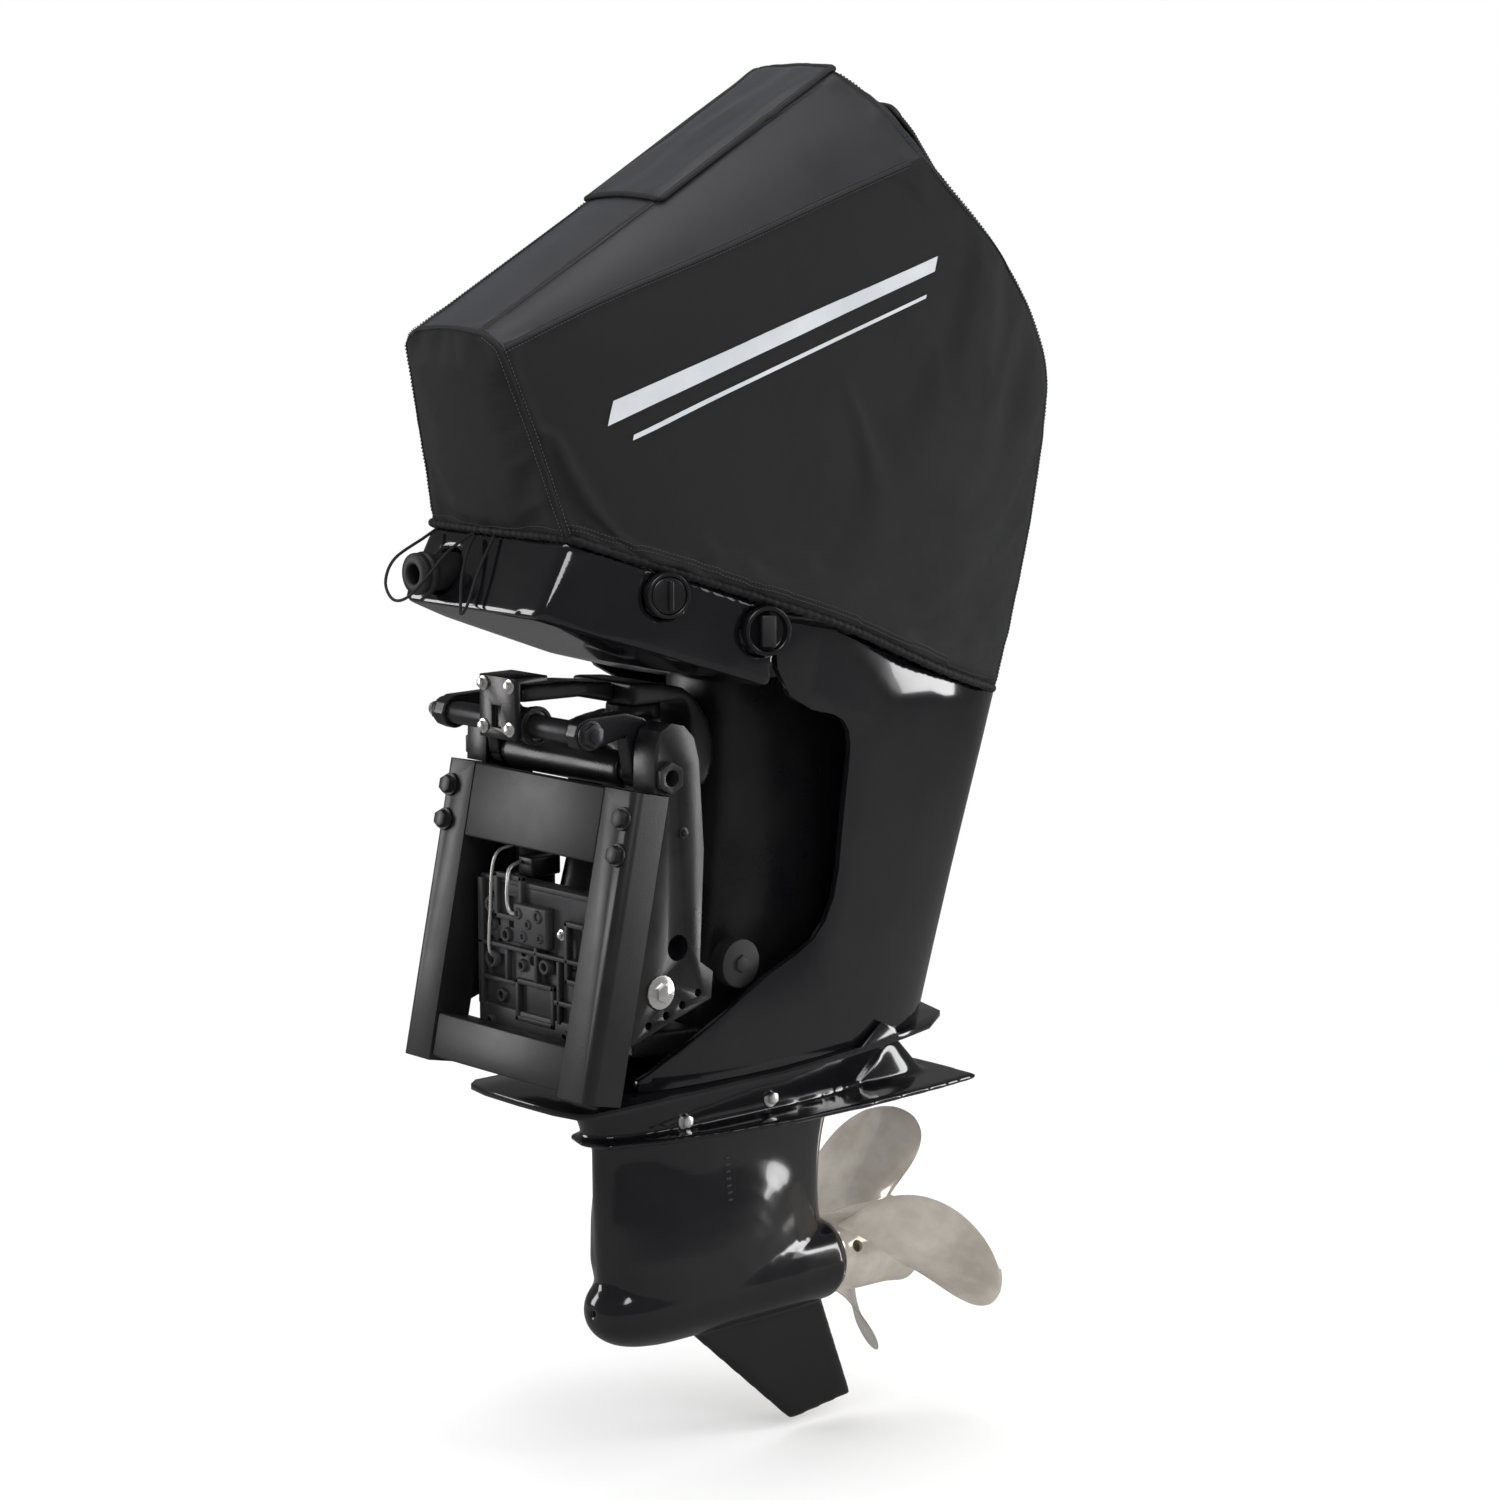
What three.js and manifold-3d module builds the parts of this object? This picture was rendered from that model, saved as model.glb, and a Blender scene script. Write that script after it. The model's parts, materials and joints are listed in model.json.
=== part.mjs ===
// Large four-stroke outboard motor under a fabric cover, bolted to a steel carrier frame.
// Millimetres. +X is port, +Y is aft, +Z is up. The origin is the centre of the carrier
// frame's top plate, on its front face. The frame leans back 12 degrees as a transom does,
// and the motor hangs upright on it from the tilt tube.

import * as THREE from 'three';
import { mergeVertices } from 'three/addons/utils/BufferGeometryUtils.js';
import { ConvexGeometry } from 'three/addons/geometries/ConvexGeometry.js';
import Module from 'manifold-3d';

const wasm = await Module();
wasm.setup();

// ---------------------------------------------------------------- driving dimensions
const GAP = 0.4;                      // clearance between touching pieces
const CLEAR = 0.6;                    // running clearance of a pin in its bore
const LEAN = 12 * Math.PI / 180;      // backward lean of the carrier frame

const RAIL = { inner: 133, outer: 193, depth: 55, top: 33, bottom: -362, round: 14 };
const TOP_PLATE_BOTTOM = -64;
const BOTTOM_BAR = { bottom: -356, top: -298 };
const BOLT_X = 176;
const BOLT_V = [-2, -48];             // heights of the carrier bolts, along the rails

const TILT = { y: 61, z: 45, radius: 18, end: 190 };
const LOWER_PIN = { y: 47, z: -228, radius: 12 };
const ROD_PIN = { y: 108, z: -20 };   // upper end of the tilt ram
const BRACKET = { inner: 150, outer: 190 };

const KINGPIN = { y: 165, radius: 17, top: 130, bottom: -345 };
const SWIVEL = { top: 112, bottom: -318, radius: 36, boss: 24, halfWidth: 116 };
const RAM_X = 75;                     // the two trim rams stand either side of the centre
const RAM_Z = -262;
const RAM_RADIUS = 11;

const STEER = { y: -30, z: 103, rod: 15, body: 22, bodyHalf: 42, armInner: 124, armOuter: 146 };

const CRANK_Y = 285;                  // crankshaft and driveshaft share this axis
const PROP = { z: -705, front: 505, rear: 640, tip: 185, pitch: 440, blades: 3 };
const TORPEDO = { nose: 88, rear: 502, radius: 61, bore: 46 };
const SPLASH = { bottom: -398, top: -390 };
const VENT_PLATE = { bottom: -473, top: -463 };
const CHAPS_WALL = 10;
const RING_POINTS = 36;               // points round a plan outline
const LEVEL_STEPS = 3;                // levels from one drawn outline to the next

// ---------------------------------------------------------------- materials
const paint = (color, roughness, metalness) =>
  new THREE.MeshStandardMaterial({ color, roughness, metalness });

const MATERIAL = {
  gloss: paint(0x07070a, 0.12, 0.2),
  casting: paint(0x0c0c0e, 0.38, 0.3),
  carrier: paint(0x121214, 0.55, 0.4),
  satin: paint(0x2a2a2c, 0.45, 0.6),
  steel: paint(0xb9b9bb, 0.22, 1),
  polished: paint(0xcdc3b8, 0.1, 1),
  aluminium: paint(0x8d9094, 0.4, 0.9),
  iron: paint(0x4a4c50, 0.6, 0.8),
  rubber: paint(0x101010, 0.8, 0),
  plastic: paint(0x141416, 0.45, 0),
  fabric: paint(0x0b0b0d, 0.9, 0),
  cord: paint(0x0d0d0d, 0.85, 0),
};

// ---------------------------------------------------------------- solid helpers
function toSolid(geometry) {
  const bare = geometry.clone();
  bare.deleteAttribute('normal');
  bare.deleteAttribute('uv');
  const merged = mergeVertices(bare, 1e-4);
  const mesh = new wasm.Mesh({
    numProp: 3,
    vertProperties: new Float32Array(merged.attributes.position.array),
    triVerts: new Uint32Array(merged.index.array),
  });
  return new wasm.Manifold(mesh);
}

function toGeometry(solid) {
  const mesh = solid.getMesh();
  const geometry = new THREE.BufferGeometry();
  geometry.setAttribute('position', new THREE.BufferAttribute(mesh.vertProperties, 3));
  geometry.setIndex(new THREE.BufferAttribute(mesh.triVerts, 1));
  return geometry;
}

const union = (...solids) => solids.reduce((whole, piece) => whole.add(piece));
const cut = (solid, ...tools) => tools.reduce((rest, tool) => rest.subtract(tool), solid);

// The largest body left after a trim, without its offcuts.
function largest(solid) {
  const bodies = solid.decompose();
  return bodies.reduce((best, body) => (body.volume() > best.volume() ? body : best));
}

function outline(points, holes = []) {
  const corners = points.map(([u, v]) => new THREE.Vector2(u, v));
  if (THREE.ShapeUtils.isClockWise(corners)) {
    corners.reverse();
  }
  const shape = new THREE.Shape(corners);
  for (const [u, v, radius] of holes) {
    const hole = new THREE.Path();
    hole.absarc(u, v, radius, 0, 2 * Math.PI, true);
    shape.holes.push(hole);
  }
  return shape;
}

function extrude(shape, depth, basis, offset) {
  const geometry = new THREE.ExtrudeGeometry(shape, { depth, bevelEnabled: false, curveSegments: 10 });
  geometry.applyMatrix4(new THREE.Matrix4().makeBasis(...basis));
  geometry.translate(...offset);
  return toSolid(geometry);
}

const X = new THREE.Vector3(1, 0, 0);
const Y = new THREE.Vector3(0, 1, 0);
const Z = new THREE.Vector3(0, 0, 1);

// A profile drawn in (y, z) is carried along X, and one in (x, y) along Z, between two places.
const carriedOn = (basis) => (points, from, to, holes) => {
  const start = basis[2].clone().multiplyScalar(from).toArray();
  return extrude(outline(points, holes), to - from, basis, start);
};
const alongX = carriedOn([Y, Z, X]);
const alongZ = carriedOn([X, Y, Z]);

function box(x0, x1, y0, y1, z0, z1) {
  const geometry = new THREE.BoxGeometry(x1 - x0, y1 - y0, z1 - z0);
  geometry.translate((x0 + x1) / 2, (y0 + y1) / 2, (z0 + z1) / 2);
  return toSolid(geometry);
}

// A round bar between two points; six sides give a hexagon.
function rod(from, to, radius, sides = 18, endRadius = radius) {
  const start = new THREE.Vector3(...from);
  const end = new THREE.Vector3(...to);
  const axis = end.clone().sub(start);
  const geometry = new THREE.CylinderGeometry(endRadius, radius, axis.length(), sides);
  geometry.applyQuaternion(new THREE.Quaternion().setFromUnitVectors(Y, axis.clone().normalize()));
  geometry.translate(...start.add(end).multiplyScalar(0.5));
  return toSolid(geometry);
}

// A turned piece: the profile is [radius, distance along the axis] from axis to axis.
function turned(profile, origin, axis, sides = 24) {
  const points = profile.map(([radius, along]) => new THREE.Vector2(radius, along));
  const geometry = new THREE.LatheGeometry(points, sides);
  geometry.applyQuaternion(new THREE.Quaternion().setFromUnitVectors(Y, axis));
  geometry.translate(...origin);
  return toSolid(geometry);
}

// A closed plan outline: straight sides, with its front and its rear rounded separately.
function planRing({ half, centre, front, rear, power }) {
  const ring = [];
  for (let i = 0; i < RING_POINTS; i += 1) {
    const angle = 2 * Math.PI * i / RING_POINTS;
    const c = Math.cos(angle);
    const s = Math.sin(angle);
    const reach = s < 0 ? centre - front : rear - centre;
    const x = half * Math.sign(c) * Math.abs(c) ** (2 / power);
    const y = centre + reach * Math.sign(s) * Math.abs(s) ** (2 / power);
    ring.push([x, y]);
  }
  return ring;
}

// Skins a stack of rings with equal point counts, and closes both ends.
function loft(rings) {
  const count = rings[0].length;
  const positions = rings.flat(2);
  const index = [];
  for (let level = 0; level < rings.length - 1; level += 1) {
    for (let i = 0; i < count; i += 1) {
      const next = (i + 1) % count;
      const a = level * count + i;
      const b = level * count + next;
      index.push(a, b, b + count, a, b + count, a + count);
    }
  }
  const last = (rings.length - 1) * count;
  for (let i = 1; i < count - 1; i += 1) {
    index.push(0, i + 1, i, last, last + i, last + i + 1);
  }
  const geometry = new THREE.BufferGeometry();
  geometry.setAttribute('position', new THREE.Float32BufferAttribute(positions, 3));
  geometry.setIndex(index);
  return toSolid(geometry);
}

// Adds levels between the drawn ones, on a smooth curve through them.
function refined(levels) {
  const last = levels.length - 1;
  const slope = (k, name) => {
    const [belowZ, below] = levels[Math.max(0, k - 1)];
    const [aboveZ, above] = levels[Math.min(last, k + 1)];
    return (above[name] - below[name]) / (aboveZ - belowZ);
  };
  const finer = [];
  for (let k = 0; k < last; k += 1) {
    const [z0, plan] = levels[k];
    const [z1, next] = levels[k + 1];
    for (let step = 0; step < LEVEL_STEPS; step += 1) {
      const t = step / LEVEL_STEPS;
      const ease = t * t * (3 - 2 * t);
      const eased = (name) => plan[name] + ease * (next[name] - plan[name])
        + t * (1 - t) * (z1 - z0) * ((1 - t) * slope(k, name) - t * slope(k + 1, name));
      const names = Object.keys(plan);
      finer.push([z0 + t * (z1 - z0), Object.fromEntries(names.map((name) => [name, eased(name)]))]);
    }
  }
  return [...finer, levels[last]];
}

// Levels are [z, plan] pairs, from the bottom up.
const planLoft = (levels, grow = 0) => loft(refined(levels).map(([z, plan]) => {
  const grown = {
    ...plan,
    half: plan.half + grow,
    front: plan.front - grow,
    rear: plan.rear + grow,
  };
  return planRing(grown).map(([x, y]) => [x, y, z]);
}));

// Closes a line of (y, z) points into the outline of everything above it.
const aboveLine = (line, top) => [...line, [line.at(-1)[0], top], [line[0][0], top]];
const raise = (line, height) => line.map(([y, z]) => [y, z + height]);

const mirrorX = (points) => points.flatMap(([x, y, z]) => (
  x === 0 ? [[x, y, z]] : [[x, y, z], [-x, y, z]]));

// The convex skin of a list of points, drawn in by an inset on every side.
function skin(points, inset = 0) {
  const vectors = points.map((point) => new THREE.Vector3(...point));
  const bounds = new THREE.Box3().setFromPoints(vectors);
  const centre = bounds.getCenter(new THREE.Vector3());
  const half = bounds.getSize(new THREE.Vector3()).multiplyScalar(0.5);
  const scale = new THREE.Vector3(1 - inset / half.x, 1 - inset / half.y, 1 - inset / half.z);
  const drawnIn = vectors.map((vector) => vector.clone().sub(centre).multiply(scale).add(centre));
  return toSolid(new ConvexGeometry(drawnIn));
}

// A hexagon-headed bolt with its washer: the head stands on `seat` and the shank runs along `into`.
function hexBolt(seat, into, { head = 12, headHeight = 9, washer = 15, shank = 6, length = 0 }) {
  const base = new THREE.Vector3(...seat);
  const at = (distance) => base.clone().addScaledVector(into, distance).toArray();
  const washerTop = -GAP - 3;
  const pieces = [
    rod(at(-GAP), at(washerTop), washer, 24),
    rod(at(washerTop + 0.5), at(washerTop - headHeight), head, 6),
  ];
  if (length > 0) {
    pieces.push(rod(at(-GAP - 1), at(length), shank, 12));
  }
  return union(...pieces);
}

// ---------------------------------------------------------------- the assembly
const motor = new THREE.Group();
const carrier = new THREE.Group();
carrier.rotation.x = -LEAN;
motor.add(carrier);

function add(name, solid, material, parent = motor) {
  const mesh = new THREE.Mesh(toGeometry(solid), MATERIAL[material]);
  mesh.name = name;
  parent.add(mesh);
}

const SIDES = [['port', 1], ['starboard', -1]];
const flip = (solid, side) => (side > 0 ? solid : solid.mirror([1, 0, 0]));

// ---------------------------------------------------------------- carrier frame
// Drawn upright in the leaning group: x across, y into the frame, z along the rails.
const onCarrier = (x, depth, v) => [
  x,
  depth * Math.cos(LEAN) + v * Math.sin(LEAN),
  v * Math.cos(LEAN) - depth * Math.sin(LEAN),
];
const BOLT_REACH = RAIL.depth + 28;

function railSolid() {
  const section = new THREE.Shape();
  section.moveTo(RAIL.inner, 0);
  section.lineTo(RAIL.outer - RAIL.round, 0);
  section.absarc(RAIL.outer - RAIL.round, RAIL.round, RAIL.round, -Math.PI / 2, 0, false);
  section.lineTo(RAIL.outer, RAIL.depth);
  section.lineTo(RAIL.inner, RAIL.depth);
  const rail = extrude(section, RAIL.top - RAIL.bottom, [X, Y, Z], [0, 0, RAIL.bottom]);
  const holes = BOLT_V.map((v) => rod([BOLT_X, -5, v], [BOLT_X, RAIL.depth + 5, v], 6 + GAP, 12));
  return cut(rail, ...holes);
}

for (const [side, sign] of SIDES) {
  add(`carrier_rail_${side}`, flip(railSolid(), sign), 'carrier', carrier);
  BOLT_V.forEach((v, row) => {
    const bolt = hexBolt([BOLT_X, 0, v], Y, { length: BOLT_REACH - 3, headHeight: 8 });
    add(`carrier_bolt_${side}_${row + 1}`, flip(bolt, sign), 'carrier', carrier);
  });
}
const plateHalf = RAIL.inner - GAP;
const topPlate = box(-plateHalf, plateHalf, 0, 34, TOP_PLATE_BOTTOM, RAIL.top);
const bottomBar = box(-plateHalf, plateHalf, 3, 50, BOTTOM_BAR.bottom, BOTTOM_BAR.top);
add('carrier_top_plate', topPlate, 'carrier', carrier);
add('carrier_bottom_bar', bottomBar, 'carrier', carrier);

// ---------------------------------------------------------------- clamp brackets and tilt tube
const BRACKET_PROFILE = [
  [-5, -292], [133, -248], [136, -214], [114, -198], [121, -54], [113, 62], [105, 91], [88, 108],
  [68, 113], [50, 104], [40, 84], [38, 27], [62.5, 21.8],
];
const TRIM_PIN_HOLES = [[111, -238], [84, -250], [57, -260], [28, -269]];
const BRACKET_WINDOW = [77, -175];

function clampBracket() {
  const holes = [
    [TILT.y, TILT.z, TILT.radius + CLEAR],
    [LOWER_PIN.y, LOWER_PIN.z, LOWER_PIN.radius + GAP],
    [...BRACKET_WINDOW, 17],
    ...TRIM_PIN_HOLES.map(([y, z]) => [y, z, 5.5]),
  ];
  const plate = alongX(BRACKET_PROFILE, BRACKET.inner, BRACKET.outer, holes);
  const pocket = [[68, -150], [100, -150], [106, -20], [72, -10]];
  const lightening = alongX(pocket, BRACKET.inner - 5, BRACKET.inner + 14);
  const boltHoles = BOLT_V.map((v) => rod(
    onCarrier(BOLT_X, RAIL.depth - 10, v),
    onCarrier(BOLT_X, BOLT_REACH, v),
    6 + GAP,
    12,
  ));
  return cut(plate, lightening, ...boltHoles);
}

for (const [side, sign] of SIDES) {
  add(`clamp_bracket_${side}`, flip(clampBracket(), sign), 'casting');
}

// The tube's end nuts are one piece with it.
function tiltTube() {
  const { y, z, radius, end } = TILT;
  const nuts = [1, -1].map((sign) => rod([sign * (end + GAP), y, z], [sign * (end + 9), y, z], 21, 6));
  const tube = rod([-end - 1, y, z], [end + 1, y, z], radius);
  return cut(union(tube, ...nuts), rod([-end - 15, y, z], [end + 15, y, z], 11, 16));
}
add('tilt_tube', tiltTube(), 'satin');

function lowerPivotBolt() {
  const { y, z, radius } = LOWER_PIN;
  const reach = BRACKET.outer + GAP;
  return union(
    rod([-reach - 1, y, z], [reach + 1, y, z], radius),
    ...[1, -1].flatMap((sign) => [
      rod([sign * reach, y, z], [sign * (reach + 3), y, z], 22),
      rod([sign * (reach + 2), y, z], [sign * (reach + 11), y, z], 13, 6),
    ]),
  );
}
add('lower_pivot_bolt', lowerPivotBolt(), 'steel');

// ---------------------------------------------------------------- trim and tilt unit
const lowerPinRod = (half, radius) => (
  rod([-half, LOWER_PIN.y, LOWER_PIN.z], [half, LOWER_PIN.y, LOWER_PIN.z], radius));

function trimManifold() {
  const front = box(-112, 108, 3, 13, -286, -118);
  const beam = box(-118, 118, 8, 95, -286, -262);
  const bosses = [1, -1].map((sign) => rod(
    [sign * 34, LOWER_PIN.y, LOWER_PIN.z],
    [sign * 118, LOWER_PIN.y, LOWER_PIN.z],
    26,
  ));
  const webs = [box(36, 118, 10, 84, -270, -228), box(-118, -36, 10, 84, -270, -228)];
  const ramBodies = [1, -1].map((sign) => rod([sign * RAM_X, 40, RAM_Z], [sign * RAM_X, 104, RAM_Z], 21));
  const pockets = [
    [-100, -78, -176, -134], [-60, -40, -176, -134], [-98, -52, -252, -214], [12, 40, -246, -190],
    [58, 92, -214, -150],
  ].map(([x0, x1, z0, z1]) => box(x0, x1, -2, 9, z0, z1));
  const sightHoles = [[-30, -205], [-12, -214], [-96, -198], [-78, -200]].map(([x, z]) => (
    rod([x, -2, z], [x, 8, z], 6, 12)));
  const pinBore = lowerPinRod(200, LOWER_PIN.radius + GAP);
  const ramBores = [1, -1].map((sign) => (
    rod([sign * RAM_X, 44, RAM_Z], [sign * RAM_X, 120, RAM_Z], RAM_RADIUS + CLEAR)));
  const block = union(front, beam, ...bosses, ...webs, ...ramBodies);
  return cut(block, pinBore, ...ramBores, ...pockets, ...sightHoles);
}
add('trim_manifold', trimManifold(), 'iron');

const PUMP_PROFILE = [[0, -200], [30, -200], [30, -112], [22, -104], [0, -104]];
const TANK_PROFILE = [[0, -200], [27, -200], [27, -122], [12, -112], [12, -104], [0, -104]];
add('trim_pump_motor', turned(PUMP_PROFILE, [-84, 62, 0], Z), 'casting');
add('trim_fluid_tank', turned(TANK_PROFILE, [84, 62, 0], Z), 'casting');
for (const [side, sign] of SIDES) {
  const ram = rod([sign * RAM_X, 50, RAM_Z], [sign * RAM_X, 115, RAM_Z], RAM_RADIUS);
  add(`trim_ram_${side}`, ram, 'steel');
}

// The tilt ram runs from the lower pin to the swivel bracket.
const ramVector = new THREE.Vector3(0, ROD_PIN.y - LOWER_PIN.y, ROD_PIN.z - LOWER_PIN.z);
const RAM_LENGTH = ramVector.length();
const ramDirection = ramVector.clone().normalize();
const ramFoot = new THREE.Vector3(0, LOWER_PIN.y, LOWER_PIN.z);
const onRam = (distance) => ramFoot.clone().addScaledVector(ramDirection, distance).toArray();
const BARREL_END = 148;
const ROD_RADIUS = 13;

function tiltCylinder() {
  const barrel = union(
    lowerPinRod(29, 24),
    rod(onRam(8), onRam(BARREL_END), 29),
    rod(onRam(BARREL_END - 12), onRam(BARREL_END + 6), 24),
  );
  const rodBore = rod(onRam(34), onRam(BARREL_END + 20), ROD_RADIUS + CLEAR);
  return cut(barrel, lowerPinRod(40, LOWER_PIN.radius + CLEAR), rodBore);
}
add('tilt_cylinder', tiltCylinder(), 'casting');
const tiltRod = union(
  rod(onRam(44), onRam(RAM_LENGTH - 8), ROD_RADIUS),
  rod([-17, ROD_PIN.y, ROD_PIN.z], [17, ROD_PIN.y, ROD_PIN.z], 15),
);
add('tilt_rod', tiltRod, 'steel');

// ---------------------------------------------------------------- swivel bracket
function swivelBracket() {
  const { y, radius } = KINGPIN;
  const barrel = rod([0, y, SWIVEL.bottom], [0, y, SWIVEL.top], SWIVEL.radius);
  const { halfWidth } = SWIVEL;
  const tiltBoss = rod([-halfWidth, TILT.y, TILT.z], [halfWidth, TILT.y, TILT.z], SWIVEL.boss);
  const saddle = alongX([[TILT.y, 24], [165, 6], [165, 98], [120, 92], [TILT.y, 77]], -58, 58);
  const cheekProfile = [[78, 30], [165, 30], [165, -70], [128, -58], [92, -44], [84, -20]];
  const cheeks = [alongX(cheekProfile, 20, 33), alongX(cheekProfile, -33, -20)];
  const crossbar = box(-98, 98, 148, 176, -292, -238);
  const ribProfile = [[160, -292], [186, -292], [172, -60], [160, -60]];
  const ribs = [alongX(ribProfile, 24, 36), alongX(ribProfile, -36, -24)];
  const body = union(barrel, tiltBoss, saddle, ...cheeks, crossbar, ...ribs);
  return cut(
    body,
    rod([0, y, -400], [0, y, 200], radius + CLEAR),
    rod([-200, TILT.y, TILT.z], [200, TILT.y, TILT.z], TILT.radius + CLEAR),
  );
}
add('swivel_bracket', swivelBracket(), 'casting');

// ---------------------------------------------------------------- steering
const SUPPORT_PROFILE = [
  [40, 45], [31, 95], [-10, 86], [-30, 81], [-46, 88], [-52, 103], [-46, 118], [-30, 125], [30, 126],
  [62, 116], [80, 90], [83, 48], [77, 29], [61, 23], [45, 29.5],
];

for (const [side, sign] of SIDES) {
  const holes = [[TILT.y, TILT.z, TILT.radius + CLEAR], [STEER.y, STEER.z, STEER.rod + GAP]];
  const arm = alongX(SUPPORT_PROFILE, STEER.armInner, STEER.armOuter, holes);
  add(`steering_support_${side}`, flip(arm, sign), 'casting');
}

// The support rod, with the nut and collar on each end and its threaded tips.
function steeringRod() {
  const { y, z, armOuter, rod: radius } = STEER;
  const reach = armOuter + GAP;
  const nuts = [1, -1].flatMap((sign) => [
    rod([sign * reach, y, z], [sign * (reach + 4), y, z], 19),
    rod([sign * (reach + 3), y, z], [sign * (reach + 12), y, z], 16, 6),
  ]);
  return union(
    rod([-reach - 1, y, z], [reach + 1, y, z], radius),
    rod([-172, y, z], [163, y, z], 9, 16),
    ...nuts,
  );
}
add('steering_rod', steeringRod(), 'satin');

function steeringCylinder() {
  const half = STEER.bodyHalf;
  const body = union(
    rod([-half, STEER.y, STEER.z], [half, STEER.y, STEER.z], STEER.body),
    box(-26, 30, STEER.y - STEER.body - 1, STEER.y, STEER.z - 12, STEER.z + 14),
  );
  return cut(body, rod([-60, STEER.y, STEER.z], [60, STEER.y, STEER.z], STEER.rod + CLEAR));
}
add('steering_cylinder', steeringCylinder(), 'casting');

function linkPlate() {
  const face = STEER.y - STEER.body - 1 - GAP;
  const upright = box(-33, 40, face - 9, face, 86, 166);
  const shelf = box(-33, 40, face - 5, face + 44, 158, 166);
  const slot = box(-8, 10, face - 12, face - 3, 100, 128);
  return cut(union(upright, shelf), slot);
}
add('steering_link_plate', linkPlate(), 'casting');

const ARM_PROFILE = [[-40, 132], [-40, 149], [-24, 153], [43, 152], [111, 144], [111, 119], [60, 130]];
add('steering_arm', alongX(ARM_PROFILE, -27, 27), 'casting');

function upperYoke() {
  const profile = [
    [112, 116], [112, 146], [160, 142], [200, 133], [226, 114], [243, 88], [252, 60], [253, 34], [246, 12],
    [237, 0], [212, 0], [212, 96], [204, 116],
  ];
  const block = alongX(profile, -62, 62);
  return cut(block, rod([0, KINGPIN.y, 100], [0, KINGPIN.y, KINGPIN.top + GAP], KINGPIN.radius + GAP));
}
add('upper_yoke', upperYoke(), 'casting');
add('kingpin', rod([0, KINGPIN.y, KINGPIN.bottom], [0, KINGPIN.y, KINGPIN.top], KINGPIN.radius), 'steel');

const yokePlan = [[-42, 128], [42, 128], [72, 224], [-72, 224]];
const lowerYoke = cut(
  alongZ(yokePlan, -354, -322),
  rod([0, KINGPIN.y, KINGPIN.bottom - GAP], [0, KINGPIN.y, -300], KINGPIN.radius + GAP),
);
add('lower_yoke', lowerYoke, 'casting');

// ---------------------------------------------------------------- midsection
const SPLASH_EDGE = [
  [0, -34], [70, -32], [110, -24], [124, -6], [124, 40], [118, 200], [114, 330], [112, 460],
  [106, 560], [96, 620], [60, 676], [0, 694],
];
const SPLASH_LINE = [[-60, SPLASH.bottom], [330, SPLASH.bottom], [460, -391], [610, -382], [780, -372]];
const SPLASH_WALL = SPLASH.top - SPLASH.bottom;
const BOXY = 3.5;                     // how square the corners of a plan outline are
const HOUSING = [
  [-392, { half: 58, centre: 380, front: 226, rear: 560, power: BOXY }],
  [-8, { half: 76, centre: 400, front: 258, rear: 560, power: BOXY }],
  [141, { half: 84, centre: 410, front: 258, rear: 590, power: BOXY }],
];
const driveshaftBore = (z0, z1, radius) => rod([0, CRANK_Y, z0], [0, CRANK_Y, z1], radius, 16);
const aboveSplash = alongX(aboveLine(raise(SPLASH_LINE, SPLASH_WALL + GAP), 300), -300, 300);
const housing = planLoft(HOUSING).intersect(aboveSplash);
add('driveshaft_housing', cut(housing, driveshaftBore(-420, 200, 14)), 'casting');

const ADAPTER_PLAN = [
  [-104, 250], [104, 250], [120, 330], [120, 560], [70, 620], [-70, 620], [-120, 560], [-120, 330],
];
const adapter = alongZ(ADAPTER_PLAN, 142, 164, [[0, CRANK_Y, 18]]);
add('adapter_plate', adapter, 'aluminium');

for (const [side, sign] of SIDES) {
  const mount = union(
    rod([sign * 79, 262, -236], [sign * 104, 262, -236], 33),
    rod([sign * 103, 262, -236], [sign * 108, 262, -236], 12, 6),
  );
  add(`lower_mount_${side}`, mount, 'rubber');
}

const CHAPS = [
  [-392, { half: 100, centre: 400, front: 40, rear: 640, power: BOXY }],
  [-350, { half: 106, centre: 400, front: 40, rear: 645, power: BOXY }],
  [-100, { half: 152, centre: 430, front: 60, rear: 692, power: BOXY }],
  [86, { half: 194, centre: 440, front: 60, rear: 722, power: BOXY }],
  [236, { half: 224, centre: 440, front: 60, rear: 744, power: BOXY }],
];
const chapsInside = CHAPS.map(([z, plan], level) => (
  [level === 0 ? z - 10 : z + (level === CHAPS.length - 1 ? 10 : 0), plan]));
const CHAPS_PROFILE = [
  [236, 168], [226, 210], [228, 232], [318, 214], [480, 149], [620, 104], [760, 84], [760, -392],
  [102, -392], [102, -373], [182, -325], [296, -252], [340, -232], [368, -214], [386, -190], [395, -160],
  [397, -120], [385, 20], [382, 50], [375, 72], [362, 88], [342, 98], [302, 108], [262, 130],
];

function midsectionShell() {
  const shell = planLoft(CHAPS).subtract(planLoft(chapsInside, -CHAPS_WALL));
  return shell.intersect(alongX(CHAPS_PROFILE, -300, 300)).intersect(aboveSplash);
}
const shell = midsectionShell();
for (const [side, sign] of SIDES) {
  const half = sign > 0 ? box(GAP, 400, -100, 900, -500, 400) : box(-400, -GAP, -100, 900, -500, 400);
  add(`side_fairing_${side}`, shell.intersect(half), 'gloss');
}

// ---------------------------------------------------------------- splash plate and gearcase
const bothSides = (edge) => [...edge, ...edge.slice(1, -1).reverse().map(([x, y]) => [-x, y])];

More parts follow.
